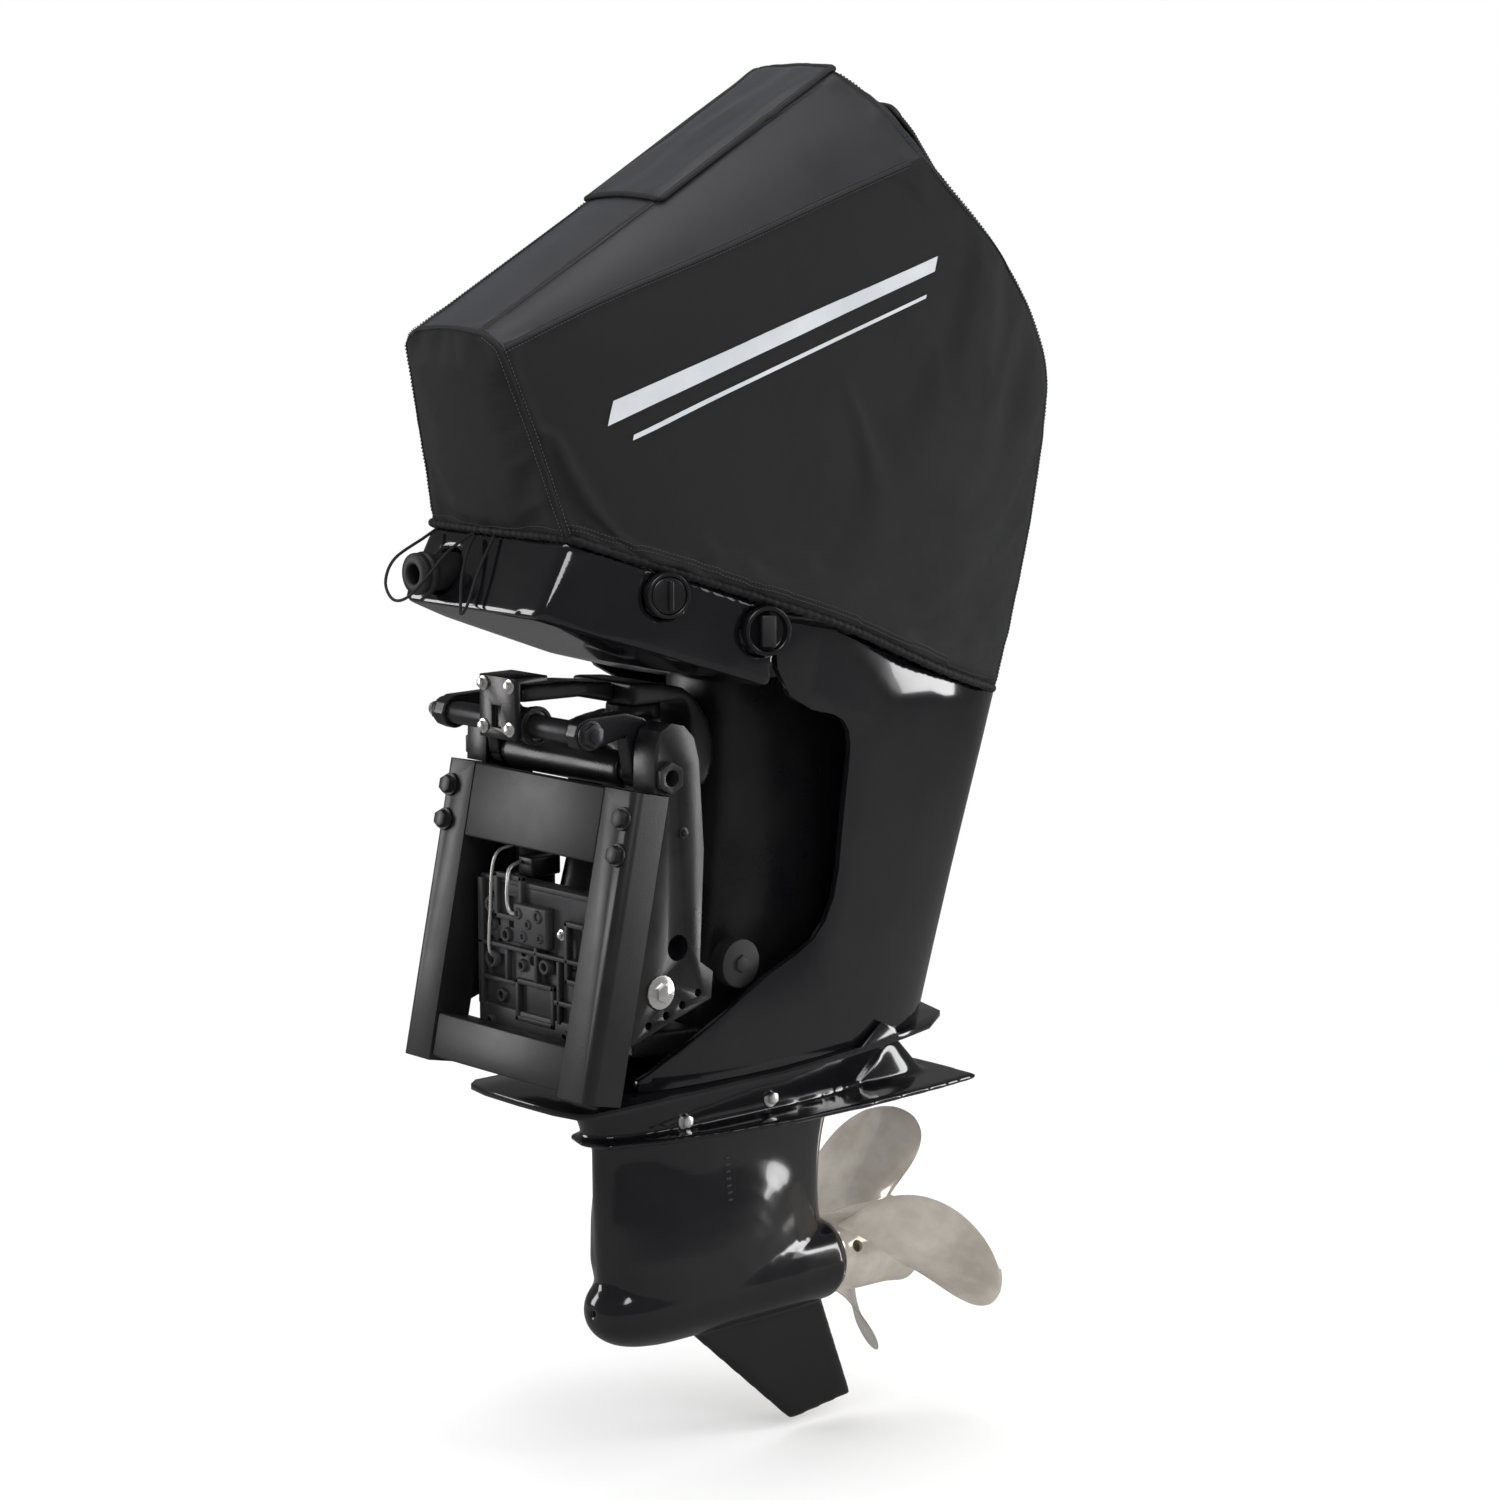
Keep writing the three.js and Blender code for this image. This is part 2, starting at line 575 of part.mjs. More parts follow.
function splashPlate() {
  const band = [...SPLASH_LINE, ...raise(SPLASH_LINE, SPLASH_WALL).reverse()];
  const plate = alongZ(bothSides(SPLASH_EDGE), -420, -350).intersect(alongX(band, -200, 200));
  const fins = [1, -1].map((sign) => alongX(
    [[470, -386], [548, -381], [540, -366], [514, -353]],
    sign * 109 - 1.5,
    sign * 109 + 1.5,
  ));
  return cut(union(plate, ...fins), driveshaftBore(-450, -350, 14));
}
add('splash_plate', splashPlate(), 'gloss');

const VENT_EDGE = [
  [0, 70], [40, 84], [68, 160], [90, 260], [104, 370], [106, 500], [98, 640], [88, 725], [0, 728],
];

function gearcase() {
  const upper = planLoft([
    [-468, { half: 50, centre: 320, front: 84, rear: 560, power: 2.6 }],
    [-430, { half: 60, centre: 320, front: 70, rear: 600, power: 2.6 }],
    [-376, { half: 74, centre: 320, front: 46, rear: 626, power: 2.6 }],
  ]);
  const strut = planLoft([
    [-712, { half: 59, centre: 280, front: 112, rear: 498, power: 2.2 }],
    [-660, { half: 57, centre: 275, front: 104, rear: 496, power: 2.2 }],
    [-600, { half: 51, centre: 262, front: 99, rear: 492, power: 2.2 }],
    [-530, { half: 45, centre: 256, front: 96, rear: 500, power: 2.2 }],
    [-466, { half: 44, centre: 260, front: 95, rear: 520, power: 2.2 }],
  ]);
  const exhaust = planLoft([
    [-466, { half: 36, centre: 600, front: 520, rear: 690, power: 3 }],
    [-412, { half: 26, centre: 590, front: 520, rear: 640, power: 3 }],
  ]);
  const ventPlate = alongZ(bothSides(VENT_EDGE), VENT_PLATE.bottom, VENT_PLATE.top);
  const { nose, rear, radius } = TORPEDO;
  const torpedo = turned([
    [0, nose], [14, nose + 2], [22, nose + 5], [28, nose + 9], [35, nose + 15], [40, nose + 22],
    [46, nose + 32], [50, nose + 42], [54, nose + 56], [57, nose + 72], [60, nose + 98],
    [radius, nose + 120], [radius, 420], [radius - 3, rear], [0, rear],
  ], [0, 0, PROP.z], Y, 40);
  const skegEdge = [[200, -745], [258, -764], [446, -931], [562, -918], [499, -751], [480, -730]];
  const skeg = alongX(skegEdge, -6, 6);
  const inletSlots = [0, 1, 2, 3, 4].flatMap((row) => {
    const bottom = -576 + 13 * row;
    return [box(28, 60, 278, 292, bottom, bottom + 6), box(-60, -28, 278, 292, bottom, bottom + 6)];
  });
  const noseHole = rod([0, nose - 5, PROP.z + 2], [0, nose + 16, PROP.z + 2], 5, 12);
  const aboveCase = alongX(aboveLine(raise(SPLASH_LINE, -GAP), 0), -300, 300);
  return cut(
    union(upper, strut, exhaust, ventPlate, torpedo, skeg),
    aboveCase,
    rod([0, 186, PROP.z], [0, rear + 10, PROP.z], TORPEDO.bore, 32),
    driveshaftBore(PROP.z, -350, 12),
    rod([0, CRANK_Y, -652], [0, CRANK_Y, PROP.z], 30, 24),
    noseHole,
    ...inletSlots,
  );
}
add('gearcase', gearcase(), 'gloss');

// ---------------------------------------------------------------- drive train
const spin = (profile) => turned(profile, [0, 0, PROP.z], Y, 24);
const shaftBore = rod([0, 150, PROP.z], [0, 700, PROP.z], 12 + CLEAR, 20);

const gearFrom = (y) => cut(
  spin([[0, y], [30, y], [42, y + 18], [42, y + 24], [30, y + 42], [0, y + 42]]),
  shaftBore,
);
add('forward_gear', gearFrom(222), 'iron');
add('reverse_gear', gearFrom(306), 'iron');
add('dog_clutch', cut(spin([[0, 272], [22, 272], [22, 298], [0, 298]]), shaftBore), 'steel');

function driveshaft() {
  return union(
    driveshaftBore(-664, 168, 9),
    turned([[0, -680], [14, -680], [24, -666], [24, -660], [0, -660]], [0, CRANK_Y, 0], Z, 24),
  );
}
add('driveshaft', driveshaft(), 'steel');

const bearingCarrier = cut(
  spin([[0, 392], [TORPEDO.bore - GAP, 392], [TORPEDO.bore - GAP, 500], [0, 500]]),
  shaftBore,
);
add('bearing_carrier', bearingCarrier, 'aluminium');
add('propeller_shaft', spin([[0, 192], [12, 192], [12, 600], [9, 602], [9, 628], [0, 628]]), 'steel');
add('propeller_nut', cut(
  rod([0, 602 + GAP, PROP.z], [0, 618, PROP.z], 18, 6),
  rod([0, 590, PROP.z], [0, 640, PROP.z], 9 + GAP, 16),
), 'steel');

// One blade: lens-shaped sections from the hub out, each wrapped round the shaft on the pitch helix.
// Stations are [radius, half the angle that the blade covers].
const BLADE_KEYS = [[48, 44], [80, 46], [112, 44], [142, 37], [166, 26], [180, 14], [PROP.tip, 4]];
const BLADE_STATIONS = new THREE.SplineCurve(BLADE_KEYS.map(([radius, half]) => (
  new THREE.Vector2(radius, half)))).getPoints(12);
const BLADE_POINTS = 12;

function bladeRing({ x: radius, y: halfAngle }, turn) {
  const outward = (radius - 48) / (PROP.tip - 48);
  const mean = 15 - 18 * outward;
  const rake = 0.6 * (radius - 48);
  const thickness = 5.5 - 3.5 * outward;
  const ring = [];
  for (let i = 0; i < BLADE_POINTS; i += 1) {
    const around = 2 * Math.PI * i / BLADE_POINTS;
    const sweep = -halfAngle * Math.cos(around);
    const face = thickness * Math.sin(around);
    const angle = (mean + sweep + turn) * Math.PI / 180;
    const y = 566 + rake + PROP.pitch * (15 - mean - sweep) / 360 + face;
    ring.push([radius * Math.cos(angle), y, PROP.z + radius * Math.sin(angle)]);
  }
  return ring;
}

function propeller() {
  const { front, rear, z } = PROP;
  const barrel = cut(
    turned([[0, front], [54, front], [57, 560], [58, 615], [62, rear], [0, rear]], [0, 0, z], Y, 36),
    rod([0, front - 5, z], [0, rear + 5, z], 49, 36),
  );
  const core = rod([0, front + 4, z], [0, 600, z], 30, 24);
  const ribs = [30, 150, 270].map((degrees) => {
    const rib = box(-4, 4, front + 8, 596, 20, 52);
    return rib.rotate([0, degrees, 0]).translate([0, 0, z]);
  });
  const blades = Array.from({ length: PROP.blades }, (_, number) => (
    loft(BLADE_STATIONS.map((station) => bladeRing(station, number * 360 / PROP.blades)))));
  const hub = union(barrel, core, ...ribs);
  const boredBlades = blades.map((blade) => cut(blade, rod([0, 400, z], [0, 800, z], 50, 36)));
  return cut(union(hub, ...boredBlades), rod([0, 400, z], [0, 700, z], 12 + GAP, 20));
}
add('propeller', propeller(), 'polished');

// ---------------------------------------------------------------- engine under the cowl
// The two cylinder banks spread from the crankcase in plan.
const BANK_ANGLE = 25;
const onBank = (solid, sign) => solid.rotate([0, 0, -sign * BANK_ANGLE]).translate([sign * 36, 340, 0]);
const crankcase = box(-92, 92, 225, 400, 165, 600);
const banks = [1, -1].map((sign) => onBank(box(-55, 55, 0, 140, 190, 540), sign));
add('engine_block', cut(union(crankcase, ...banks), driveshaftBore(150, 650, 34)), 'aluminium');
for (const [side, sign] of SIDES) {
  add(`cylinder_head_${side}`, onBank(box(-52, 54, 141, 198, 200, 520), sign), 'aluminium');
}
const crankshaft = union(
  driveshaftBore(169, 640, 30),
  turned([[0, 606], [98, 606], [102, 612], [102, 640], [60, 652], [0, 652]], [0, CRANK_Y, 0], Z, 32),
);
add('crankshaft', crankshaft, 'iron');
const plenum = loft([
  [[-100, 96], [100, 96], [100, 222], [-100, 222]].map(([x, y]) => [x, y, 330]),
  [[-90, 60], [90, 60], [90, 222], [-90, 222]].map(([x, y]) => [x, y, 540]),
]);
add('intake_plenum', plenum, 'plastic');

// ---------------------------------------------------------------- cowls and cover
const HEM = [[-220, 352], [-55, 350], [107, 292], [326, 217], [488, 150], [638, 103], [840, 92]];
const COVER_POINTS = mirrorX([
  [63, -130, 603], [0, -131, 606], [66, 169, 769], [75, 452, 927], [0, 455, 930],
  [97, -125, 582], [140, 195, 699], [172, 525, 815], [80, 535, 885],
  [196, 612, 722], [198, 664, 665], [198, 709, 598], [198, 736, 510], [198, 690, 300], [198, 671, 196],
  [0, 762, 510], [0, 738, 640], [0, 660, 770], [0, 716, 196], [0, 560, 876],
  [136, -55, 350], [196, 111, 292], [238, 326, 217], [238, 488, 150], [196, 640, 103], [0, 690, 96],
  [132, -37, 290], [190, 115, 230], [232, 330, 150], [232, 493, 80], [190, 640, 20], [0, 684, 20],
  [0, -62, 350], [0, -44, 290],
]);

const COVER_WALL = 5;
const coverShell = skin(COVER_POINTS).subtract(skin(COVER_POINTS, COVER_WALL));
add('cover', coverShell.intersect(alongX(aboveLine(HEM, 1000), -300, 300)), 'fabric');

const COWL_SPLIT = [[-220, 430], [840, 200]];
const cowlShell = skin(COVER_POINTS, COVER_WALL + 7).subtract(skin(COVER_POINTS, COVER_WALL + 15));
add('top_cowl', cowlShell.intersect(alongX(aboveLine(COWL_SPLIT, 1000), -300, 300)), 'gloss');

const SIDE_NORMAL = new THREE.Vector3(0.953, -0.301, 0.03).normalize();
const fromSide = (centre, distance) => (
  new THREE.Vector3(...centre).addScaledVector(SIDE_NORMAL, distance).toArray());
const FLUSH = [182, 63, 275];
const SWITCH = [216, 200, 222];

const PAN_POINTS = mirrorX([
  [126, -10, 440], [140, -58, 330], [138, -100, 262], [128, -104, 254], [60, -106, 254], [0, -106, 254],
  [0, -10, 440],
  [166, -25, 226], [196, 157, 168], [202, 222, 146], [90, 100, 172], [90, 222, 140],
  [196, 111, 300], [222, 222, 240], [226, 326, 225], [226, 326, 440], [226, 488, 160], [226, 488, 440],
  [184, 640, 115], [184, 640, 440], [0, 680, 100], [0, 680, 440], [186, 111, 440],
]);
const PAN_PROFILE = [
  [-180, 100], [224, 100], [224, 236], [320, 218], [482, 154], [622, 116], [760, 96],
  [840, 96], [840, 196], [-180, 417],
];

function lowerCowl() {
  const pan = skin(PAN_POINTS).subtract(skin(PAN_POINTS, 9));
  const coverInside = skin(COVER_POINTS, COVER_WALL + 1).add(box(-300, 300, -300, 900, -100, 150));
  const underCover = alongX(aboveLine(HEM.map(([y, z]) => [y, z - 6]), 1000), -300, 300);
  const proud = underCover.subtract(coverInside);
  const openings = [
    rod([-75, -160, 294], [-75, -40, 294], 28 + GAP, 24),
    rod(fromSide(FLUSH, -30), fromSide(FLUSH, 30), 30, 32),
    rod(fromSide(SWITCH, -30), fromSide(SWITCH, 30), 33, 32),
  ];
  return largest(cut(pan.intersect(alongX(PAN_PROFILE, -300, 300)), proud, ...openings));
}
add('lower_cowl', lowerCowl(), 'gloss');

// ---------------------------------------------------------------- small pieces on the lower cowl
const ROUND = 32;                     // sides of a round fitting
const flushSocket = cut(
  rod(fromSide(FLUSH, -6), fromSide(FLUSH, 18), 29, ROUND),
  rod(fromSide(FLUSH, 3), fromSide(FLUSH, 30), 24, ROUND),
);
add('flush_socket', flushSocket, 'plastic');
const capBar = box(-4, 6, -3, 3, -19, 19);
const turnToSide = Math.atan2(SIDE_NORMAL.y, SIDE_NORMAL.x) * 180 / Math.PI;
const flushCap = union(
  rod(fromSide(FLUSH, 4), fromSide(FLUSH, 17), 23, ROUND),
  capBar.rotate([0, 0, turnToSide]).translate(fromSide(FLUSH, 20)),
);
add('flush_cap', flushCap, 'plastic');

const switchBezel = cut(
  rod(fromSide(SWITCH, -6), fromSide(SWITCH, 16), 32, ROUND),
  rod(fromSide(SWITCH, 4), fromSide(SWITCH, 30), 26, ROUND),
);
add('tilt_switch_bezel', switchBezel, 'plastic');
const rocker = box(-4, 5, -10, 10, -20, 20).rotate([0, 0, turnToSide]).translate(fromSide(SWITCH, 13));
add('tilt_switch_rocker', rocker, 'rubber');

const grommetProfile = [
  [0, -134], [20, -134], [27, -131], [27, -124], [24, -122], [28, -119], [28, -112], [24, -110],
  [24, -60], [0, -60],
];
const grommet = turned(grommetProfile, [-75, 0, 294], Y, 28);
add('rigging_grommet', cut(grommet, rod([-75, -150, 294], [-75, -50, 294], 13, 16)), 'rubber');

// ---------------------------------------------------------------- tie cord of the cover
const CORD_ROUTE = [
  [-112, -66, 345], [-116, -84, 334], [-120, -128, 310], [-116, -146, 282], [-96, -150, 262],
  [-70, -147, 266], [-42, -138, 292], [-38, -108, 322], [-34, -76, 342], [-27, -72, 342],
  [-22, -86, 328], [-12, -104, 296], [0, -116, 262], [8, -122, 250], [14, -116, 262],
  [10, -96, 300], [6, -66, 345],
];
const CORD_RADIUS = 2;

function tieCord() {
  const path = new THREE.CatmullRomCurve3(CORD_ROUTE.map((point) => new THREE.Vector3(...point)));
  const circle = new THREE.Shape();
  circle.absarc(0, 0, CORD_RADIUS, 0, 2 * Math.PI, false);
  const settings = { extrudePath: path, steps: 64, bevelEnabled: false, curveSegments: 4 };
  return toSolid(new THREE.ExtrudeGeometry(circle, settings));
}
add('tie_cord', tieCord(), 'cord');

export default motor;
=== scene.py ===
# %% [markdown]
# # An outboard motor under its cover
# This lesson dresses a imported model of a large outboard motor. The model gives the sizes, the bodies
# and the joints, and every piece made here sits in the model's own frame: metres, +X port, +Y aft, +Z up.
# Hard castings start as copies of the model's own solids, because their shape is already right, and get
# the rounded edges and the paint that a casting has. The cover is sewn from panels and simulated as cloth.

# %% Load the frame
import math

import bpy
import numpy as np
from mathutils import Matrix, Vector, noise
from mathutils.bvhtree import BVHTree
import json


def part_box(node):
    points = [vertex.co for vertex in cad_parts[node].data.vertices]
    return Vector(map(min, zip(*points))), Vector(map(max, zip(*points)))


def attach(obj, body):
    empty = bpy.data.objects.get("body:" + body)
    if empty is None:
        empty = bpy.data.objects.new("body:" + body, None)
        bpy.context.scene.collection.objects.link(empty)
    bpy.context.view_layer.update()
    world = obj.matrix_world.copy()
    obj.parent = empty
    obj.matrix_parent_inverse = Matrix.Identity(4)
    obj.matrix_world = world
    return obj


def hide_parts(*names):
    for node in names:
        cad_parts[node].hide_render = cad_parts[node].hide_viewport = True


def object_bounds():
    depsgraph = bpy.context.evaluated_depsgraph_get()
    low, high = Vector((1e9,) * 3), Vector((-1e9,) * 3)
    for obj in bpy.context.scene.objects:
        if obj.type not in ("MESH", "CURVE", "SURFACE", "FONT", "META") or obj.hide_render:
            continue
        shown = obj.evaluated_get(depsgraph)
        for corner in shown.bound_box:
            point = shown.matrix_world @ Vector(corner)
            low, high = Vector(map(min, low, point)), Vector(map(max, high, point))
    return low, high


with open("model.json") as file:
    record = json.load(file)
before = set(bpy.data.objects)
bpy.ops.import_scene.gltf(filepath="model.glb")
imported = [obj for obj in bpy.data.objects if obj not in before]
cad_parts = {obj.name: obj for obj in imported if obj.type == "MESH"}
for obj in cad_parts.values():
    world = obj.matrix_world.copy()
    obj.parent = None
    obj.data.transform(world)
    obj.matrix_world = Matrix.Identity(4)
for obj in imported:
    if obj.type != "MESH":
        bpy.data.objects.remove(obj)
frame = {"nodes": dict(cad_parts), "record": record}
CAD_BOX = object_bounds()
NODES = frame["nodes"]
BODY_OF = {}
for body_name, body_nodes in frame["record"]["behaviour"]["bodies"].items():
    for node_name in body_nodes:
        BODY_OF[node_name] = body_name
SLOT_OF = {entry["node"]: entry["material_slot"] for entry in frame["record"]["subparts"]}
MM = 0.001
WELD = 0.00002
RELIEF_DEPTH = 0.0004
SHAFT_Z = -705
print("nodes", len(NODES), "box", CAD_BOX)

# %% [markdown]
# The camera comes first. A long lens keeps the motor's upright lines straight. It stands forward
# and to port, a little above the middle, looking slightly down.

# %% Camera
def aim(azimuth, pitch):
    """The unit vector that a camera looks along, for an azimuth and a downward pitch in degrees."""
    a = math.radians(azimuth)
    p = math.radians(pitch)
    return Vector((-math.sin(a) * math.cos(p), math.cos(a) * math.cos(p), -math.sin(p)))


view_direction = aim(48, 9)
camera_data = bpy.data.cameras.new("camera")
camera_data.lens = 90.5
camera_data.sensor_width = 36
camera_data.clip_end = 60
camera = bpy.data.objects.new("camera", camera_data)
camera.location = (3.725, -2.983, 0.819)
camera.rotation_euler = view_direction.to_track_quat("-Z", "Y").to_euler()
bpy.context.collection.objects.link(camera)
bpy.context.scene.camera = camera
bpy.context.scene.view_settings.view_transform = "Standard"
print("camera", tuple(round(c, 3) for c in camera.location))

# %% Object helpers
def select_only(piece):
    """Selects one object and makes it active."""
    bpy.ops.object.select_all(action="DESELECT")
    piece.select_set(True)
    bpy.context.view_layer.objects.active = piece


def new_piece(name, vertices, faces):
    """A mesh object at the origin from points in metres and faces."""
    mesh = bpy.data.meshes.new(name)
    mesh.from_pydata([tuple(v) for v in vertices], [], faces)
    mesh.validate()
    mesh.update()
    piece = bpy.data.objects.new(name, mesh)
    bpy.context.collection.objects.link(piece)
    return piece


def apply_modifiers(piece):
    """Applies every modifier of a piece in order."""
    select_only(piece)
    for modifier in list(piece.modifiers):
        bpy.ops.object.modifier_apply(modifier=modifier.name)


def place(piece, body, material, replaces=()):
    """Gives a finished piece its material and the body that it rides on."""
    piece.data.materials.clear()
    piece.data.materials.append(material)
    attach(piece, body)
    if replaces:
        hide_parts(*replaces)
    return piece


def smooth(piece, degrees=35):
    """Smooth shading, broken at edges sharper than the angle."""
    select_only(piece)
    bpy.ops.object.shade_smooth_by_angle(angle=math.radians(degrees))


def soften(piece):
    """Smooth shading over the whole of a piece."""
    for polygon in piece.data.polygons:
        polygon.use_smooth = True


def edit(piece, *steps):
    """Runs mesh operators in order, each on the whole of a piece."""
    select_only(piece)
    bpy.ops.object.mode_set(mode="EDIT")
    for operator, options in steps:
        bpy.ops.mesh.select_all(action="SELECT")
        operator(**options)
    bpy.ops.object.mode_set(mode="OBJECT")


MERGE = (bpy.ops.mesh.remove_doubles, {"threshold": WELD})
OUTWARD = (bpy.ops.mesh.normals_make_consistent, {"inside": False})


def ring_faces(rows, count, wrap=False, capped=True):
    """The faces between rings of points, with a cap at each end unless the rings close on themselves."""
    faces = []
    for i in range(rows if wrap else rows - 1):
        ahead = (i + 1) % rows
        for k in range(count):
            n = (k + 1) % count
            faces.append((i * count + k, i * count + n, ahead * count + n, ahead * count + k))
    if capped and not wrap:
        faces.append(tuple(range(count))[::-1])
        faces.append(tuple((rows - 1) * count + k for k in range(count)))
    return faces


def joined(name, pieces):
    """Several pieces made into one object."""
    bpy.ops.object.select_all(action="DESELECT")
    for piece in pieces:
        piece.select_set(True)
    bpy.context.view_layer.objects.active = pieces[0]
    bpy.ops.object.join()
    pieces[0].name = name
    return pieces[0]


def line_through(points, count):
    """Evenly spaced points on a smooth curve through the given ones."""
    keys = np.array(points, dtype=float)
    padded = np.vstack([2 * keys[0] - keys[1], keys, 2 * keys[-1] - keys[-2]])
    dense = []
    for i in range(1, len(padded) - 2):
        a, b, c, d = padded[i - 1], padded[i], padded[i + 1], padded[i + 2]
        for t in np.linspace(0, 1, 24, endpoint=False):
            bend = 2 * a - 5 * b + 4 * c - d
            cubic = 3 * b - 3 * c + d - a
            dense.append(0.5 * (2 * b + (c - a) * t + bend * t**2 + cubic * t**3))
    dense.append(padded[-2])
    dense = np.array(dense)
    steps = np.linalg.norm(np.diff(dense, axis=0), axis=1)
    along = np.concatenate([[0], np.cumsum(steps)])
    wanted = np.linspace(0, along[-1], count)
    return np.stack([np.interp(wanted, along, dense[:, axis]) for axis in range(3)], axis=1)


def bar(name, start, end, radius, sides=32, bevel=0.8):
    """A round bar between two points in millimetres, its ends chamfered; six sides make a hexagon."""
    start = Vector(start) * MM
    end = Vector(end) * MM
    bpy.ops.object.select_all(action="DESELECT")
    bpy.ops.mesh.primitive_cylinder_add(
        vertices=sides, radius=radius * MM, depth=(end - start).length, location=(start + end) / 2,
        rotation=(end - start).to_track_quat("Z", "Y").to_euler())
    piece = bpy.context.active_object
    piece.name = name
    bpy.ops.object.transform_apply(location=True, rotation=True, scale=True)
    edge = piece.modifiers.new("edge", "BEVEL")
    edge.width = bevel * MM
    edge.segments = 2
    edge.limit_method = "ANGLE"
    edge.angle_limit = math.radians(50)
    apply_modifiers(piece)
    return piece


def drill(piece, start, end, radius, sides):
    """Cuts a round hole through a piece between two points in millimetres."""
    core = bar("core", start, end, radius, sides, 0.1)
    bore = piece.modifiers.new("bore", "BOOLEAN")
    bore.operation = "DIFFERENCE"
    bore.solver = "EXACT"
    bore.object = core
    apply_modifiers(piece)
    bpy.data.objects.remove(core)


def tube(name, path, radius, sides=10, closed=False, radii=None):
    """A tube along a path, its rings turned as little as they can be."""
    path = [Vector(p) for p in path]
    count = len(path)
    vertices = []
    normal = None
    for i, point in enumerate(path):
        ahead = path[(i + 1) % count] if closed or i < count - 1 else path[i]
        behind = path[i - 1] if closed or i > 0 else path[i]
        tangent = (ahead - behind).normalized()
        if normal is None:
            normal = tangent.orthogonal().normalized()
        normal = (normal - tangent * normal.dot(tangent)).normalized()
        side = tangent.cross(normal)
        size = radius if radii is None else radii[i]
        for k in range(sides):
            angle = 2 * math.pi * k / sides
            vertices.append(point + (normal * math.cos(angle) + side * math.sin(angle)) * size)
    piece = new_piece(name, vertices, ring_faces(count, sides, wrap=closed))
    soften(piece)
    return piece


# %% [markdown]
# ## Surface effects
# Three effects are shared by the finishes. Grain is the fine bump of powder coat and sand casting,
# smudge is the slow change of gloss that handling leaves, and weave is the crossing of two sets of threads.

# %% Shader groups
def shader_group(name, inputs, outputs):
    """An empty shader group with float or vector sockets."""
    group = bpy.data.node_groups.new(name, "ShaderNodeTree")
    for socket_name, kind, value in inputs:
        socket = group.interface.new_socket(socket_name, in_out="INPUT", socket_type=kind)
        if value is not None:
            socket.default_value = value
    for socket_name, kind in outputs:
        group.interface.new_socket(socket_name, in_out="OUTPUT", socket_type=kind)
    return group, group.nodes.new("NodeGroupInput"), group.nodes.new("NodeGroupOutput")


def math_node(nodes, operation, value=None):
    """A math node with its second value set."""
    node = nodes.new("ShaderNodeMath")
    node.operation = operation
    if value is not None:
        node.inputs[1].default_value = value
    return node


def make_grain():
    group, inlet, outlet = shader_group(
        "grain",
        [("Vector", "NodeSocketVector", None), ("Scale", "NodeSocketFloat", 600.0)],
        [("Height", "NodeSocketFloat"), ("Mask", "NodeSocketFloat")],
    )
    fine = group.nodes.new("ShaderNodeTexNoise")
    fine.inputs["Detail"].default_value = 3
    group.links.new(inlet.outputs["Vector"], fine.inputs["Vector"])
    group.links.new(inlet.outputs["Scale"], fine.inputs["Scale"])
    slow = group.nodes.new("ShaderNodeTexNoise")
    slow.inputs["Scale"].default_value = 9
    slow.inputs["Detail"].default_value = 5
    slow.inputs["Roughness"].default_value = 0.6
    group.links.new(inlet.outputs["Vector"], slow.inputs["Vector"])
    spread = group.nodes.new("ShaderNodeMapRange")
    spread.inputs["From Min"].default_value = 0.35
    spread.inputs["From Max"].default_value = 0.68
    group.links.new(slow.outputs["Fac"], spread.inputs["Value"])
    group.links.new(fine.outputs["Fac"], outlet.inputs["Height"])
    group.links.new(spread.outputs["Result"], outlet.inputs["Mask"])
    return group


def make_weave():
    group, inlet, outlet = shader_group(
        "weave",
        [("Vector", "NodeSocketVector", None), ("Threads", "NodeSocketFloat", 900.0)],
        [("Height", "NodeSocketFloat"), ("Thread", "NodeSocketFloat")],
    )
    waves = []
    for axis in ("X", "Y"):
        wave = group.nodes.new("ShaderNodeTexWave")
        wave.bands_direction = axis
        wave.inputs["Distortion"].default_value = 0.6
        wave.inputs["Detail"].default_value = 1
        group.links.new(inlet.outputs["Vector"], wave.inputs["Vector"])
        group.links.new(inlet.outputs["Threads"], wave.inputs["Scale"])
        waves.append(wave)
    height = math_node(group.nodes, "MULTIPLY")
    group.links.new(waves[0].outputs["Fac"], height.inputs[0])
    group.links.new(waves[1].outputs["Fac"], height.inputs[1])
    group.links.new(height.outputs[0], outlet.inputs["Height"])
    group.links.new(waves[0].outputs["Fac"], outlet.inputs["Thread"])
    return group


GRAIN = make_grain()
WEAVE = make_weave()
print("groups", GRAIN.name, WEAVE.name)


# %% Finishes
def blank(name, **sockets):
    """A new material and its Principled shader, with constants set on the shader's own sockets."""
    material = bpy.data.materials.new(name)
    material.use_nodes = True
    shader = material.node_tree.nodes["Principled BSDF"]
    for socket_name, value in sockets.items():
        shader.inputs[socket_name.replace("_", " ")].default_value = value
    return material, material.node_tree.nodes, material.node_tree.links, shader


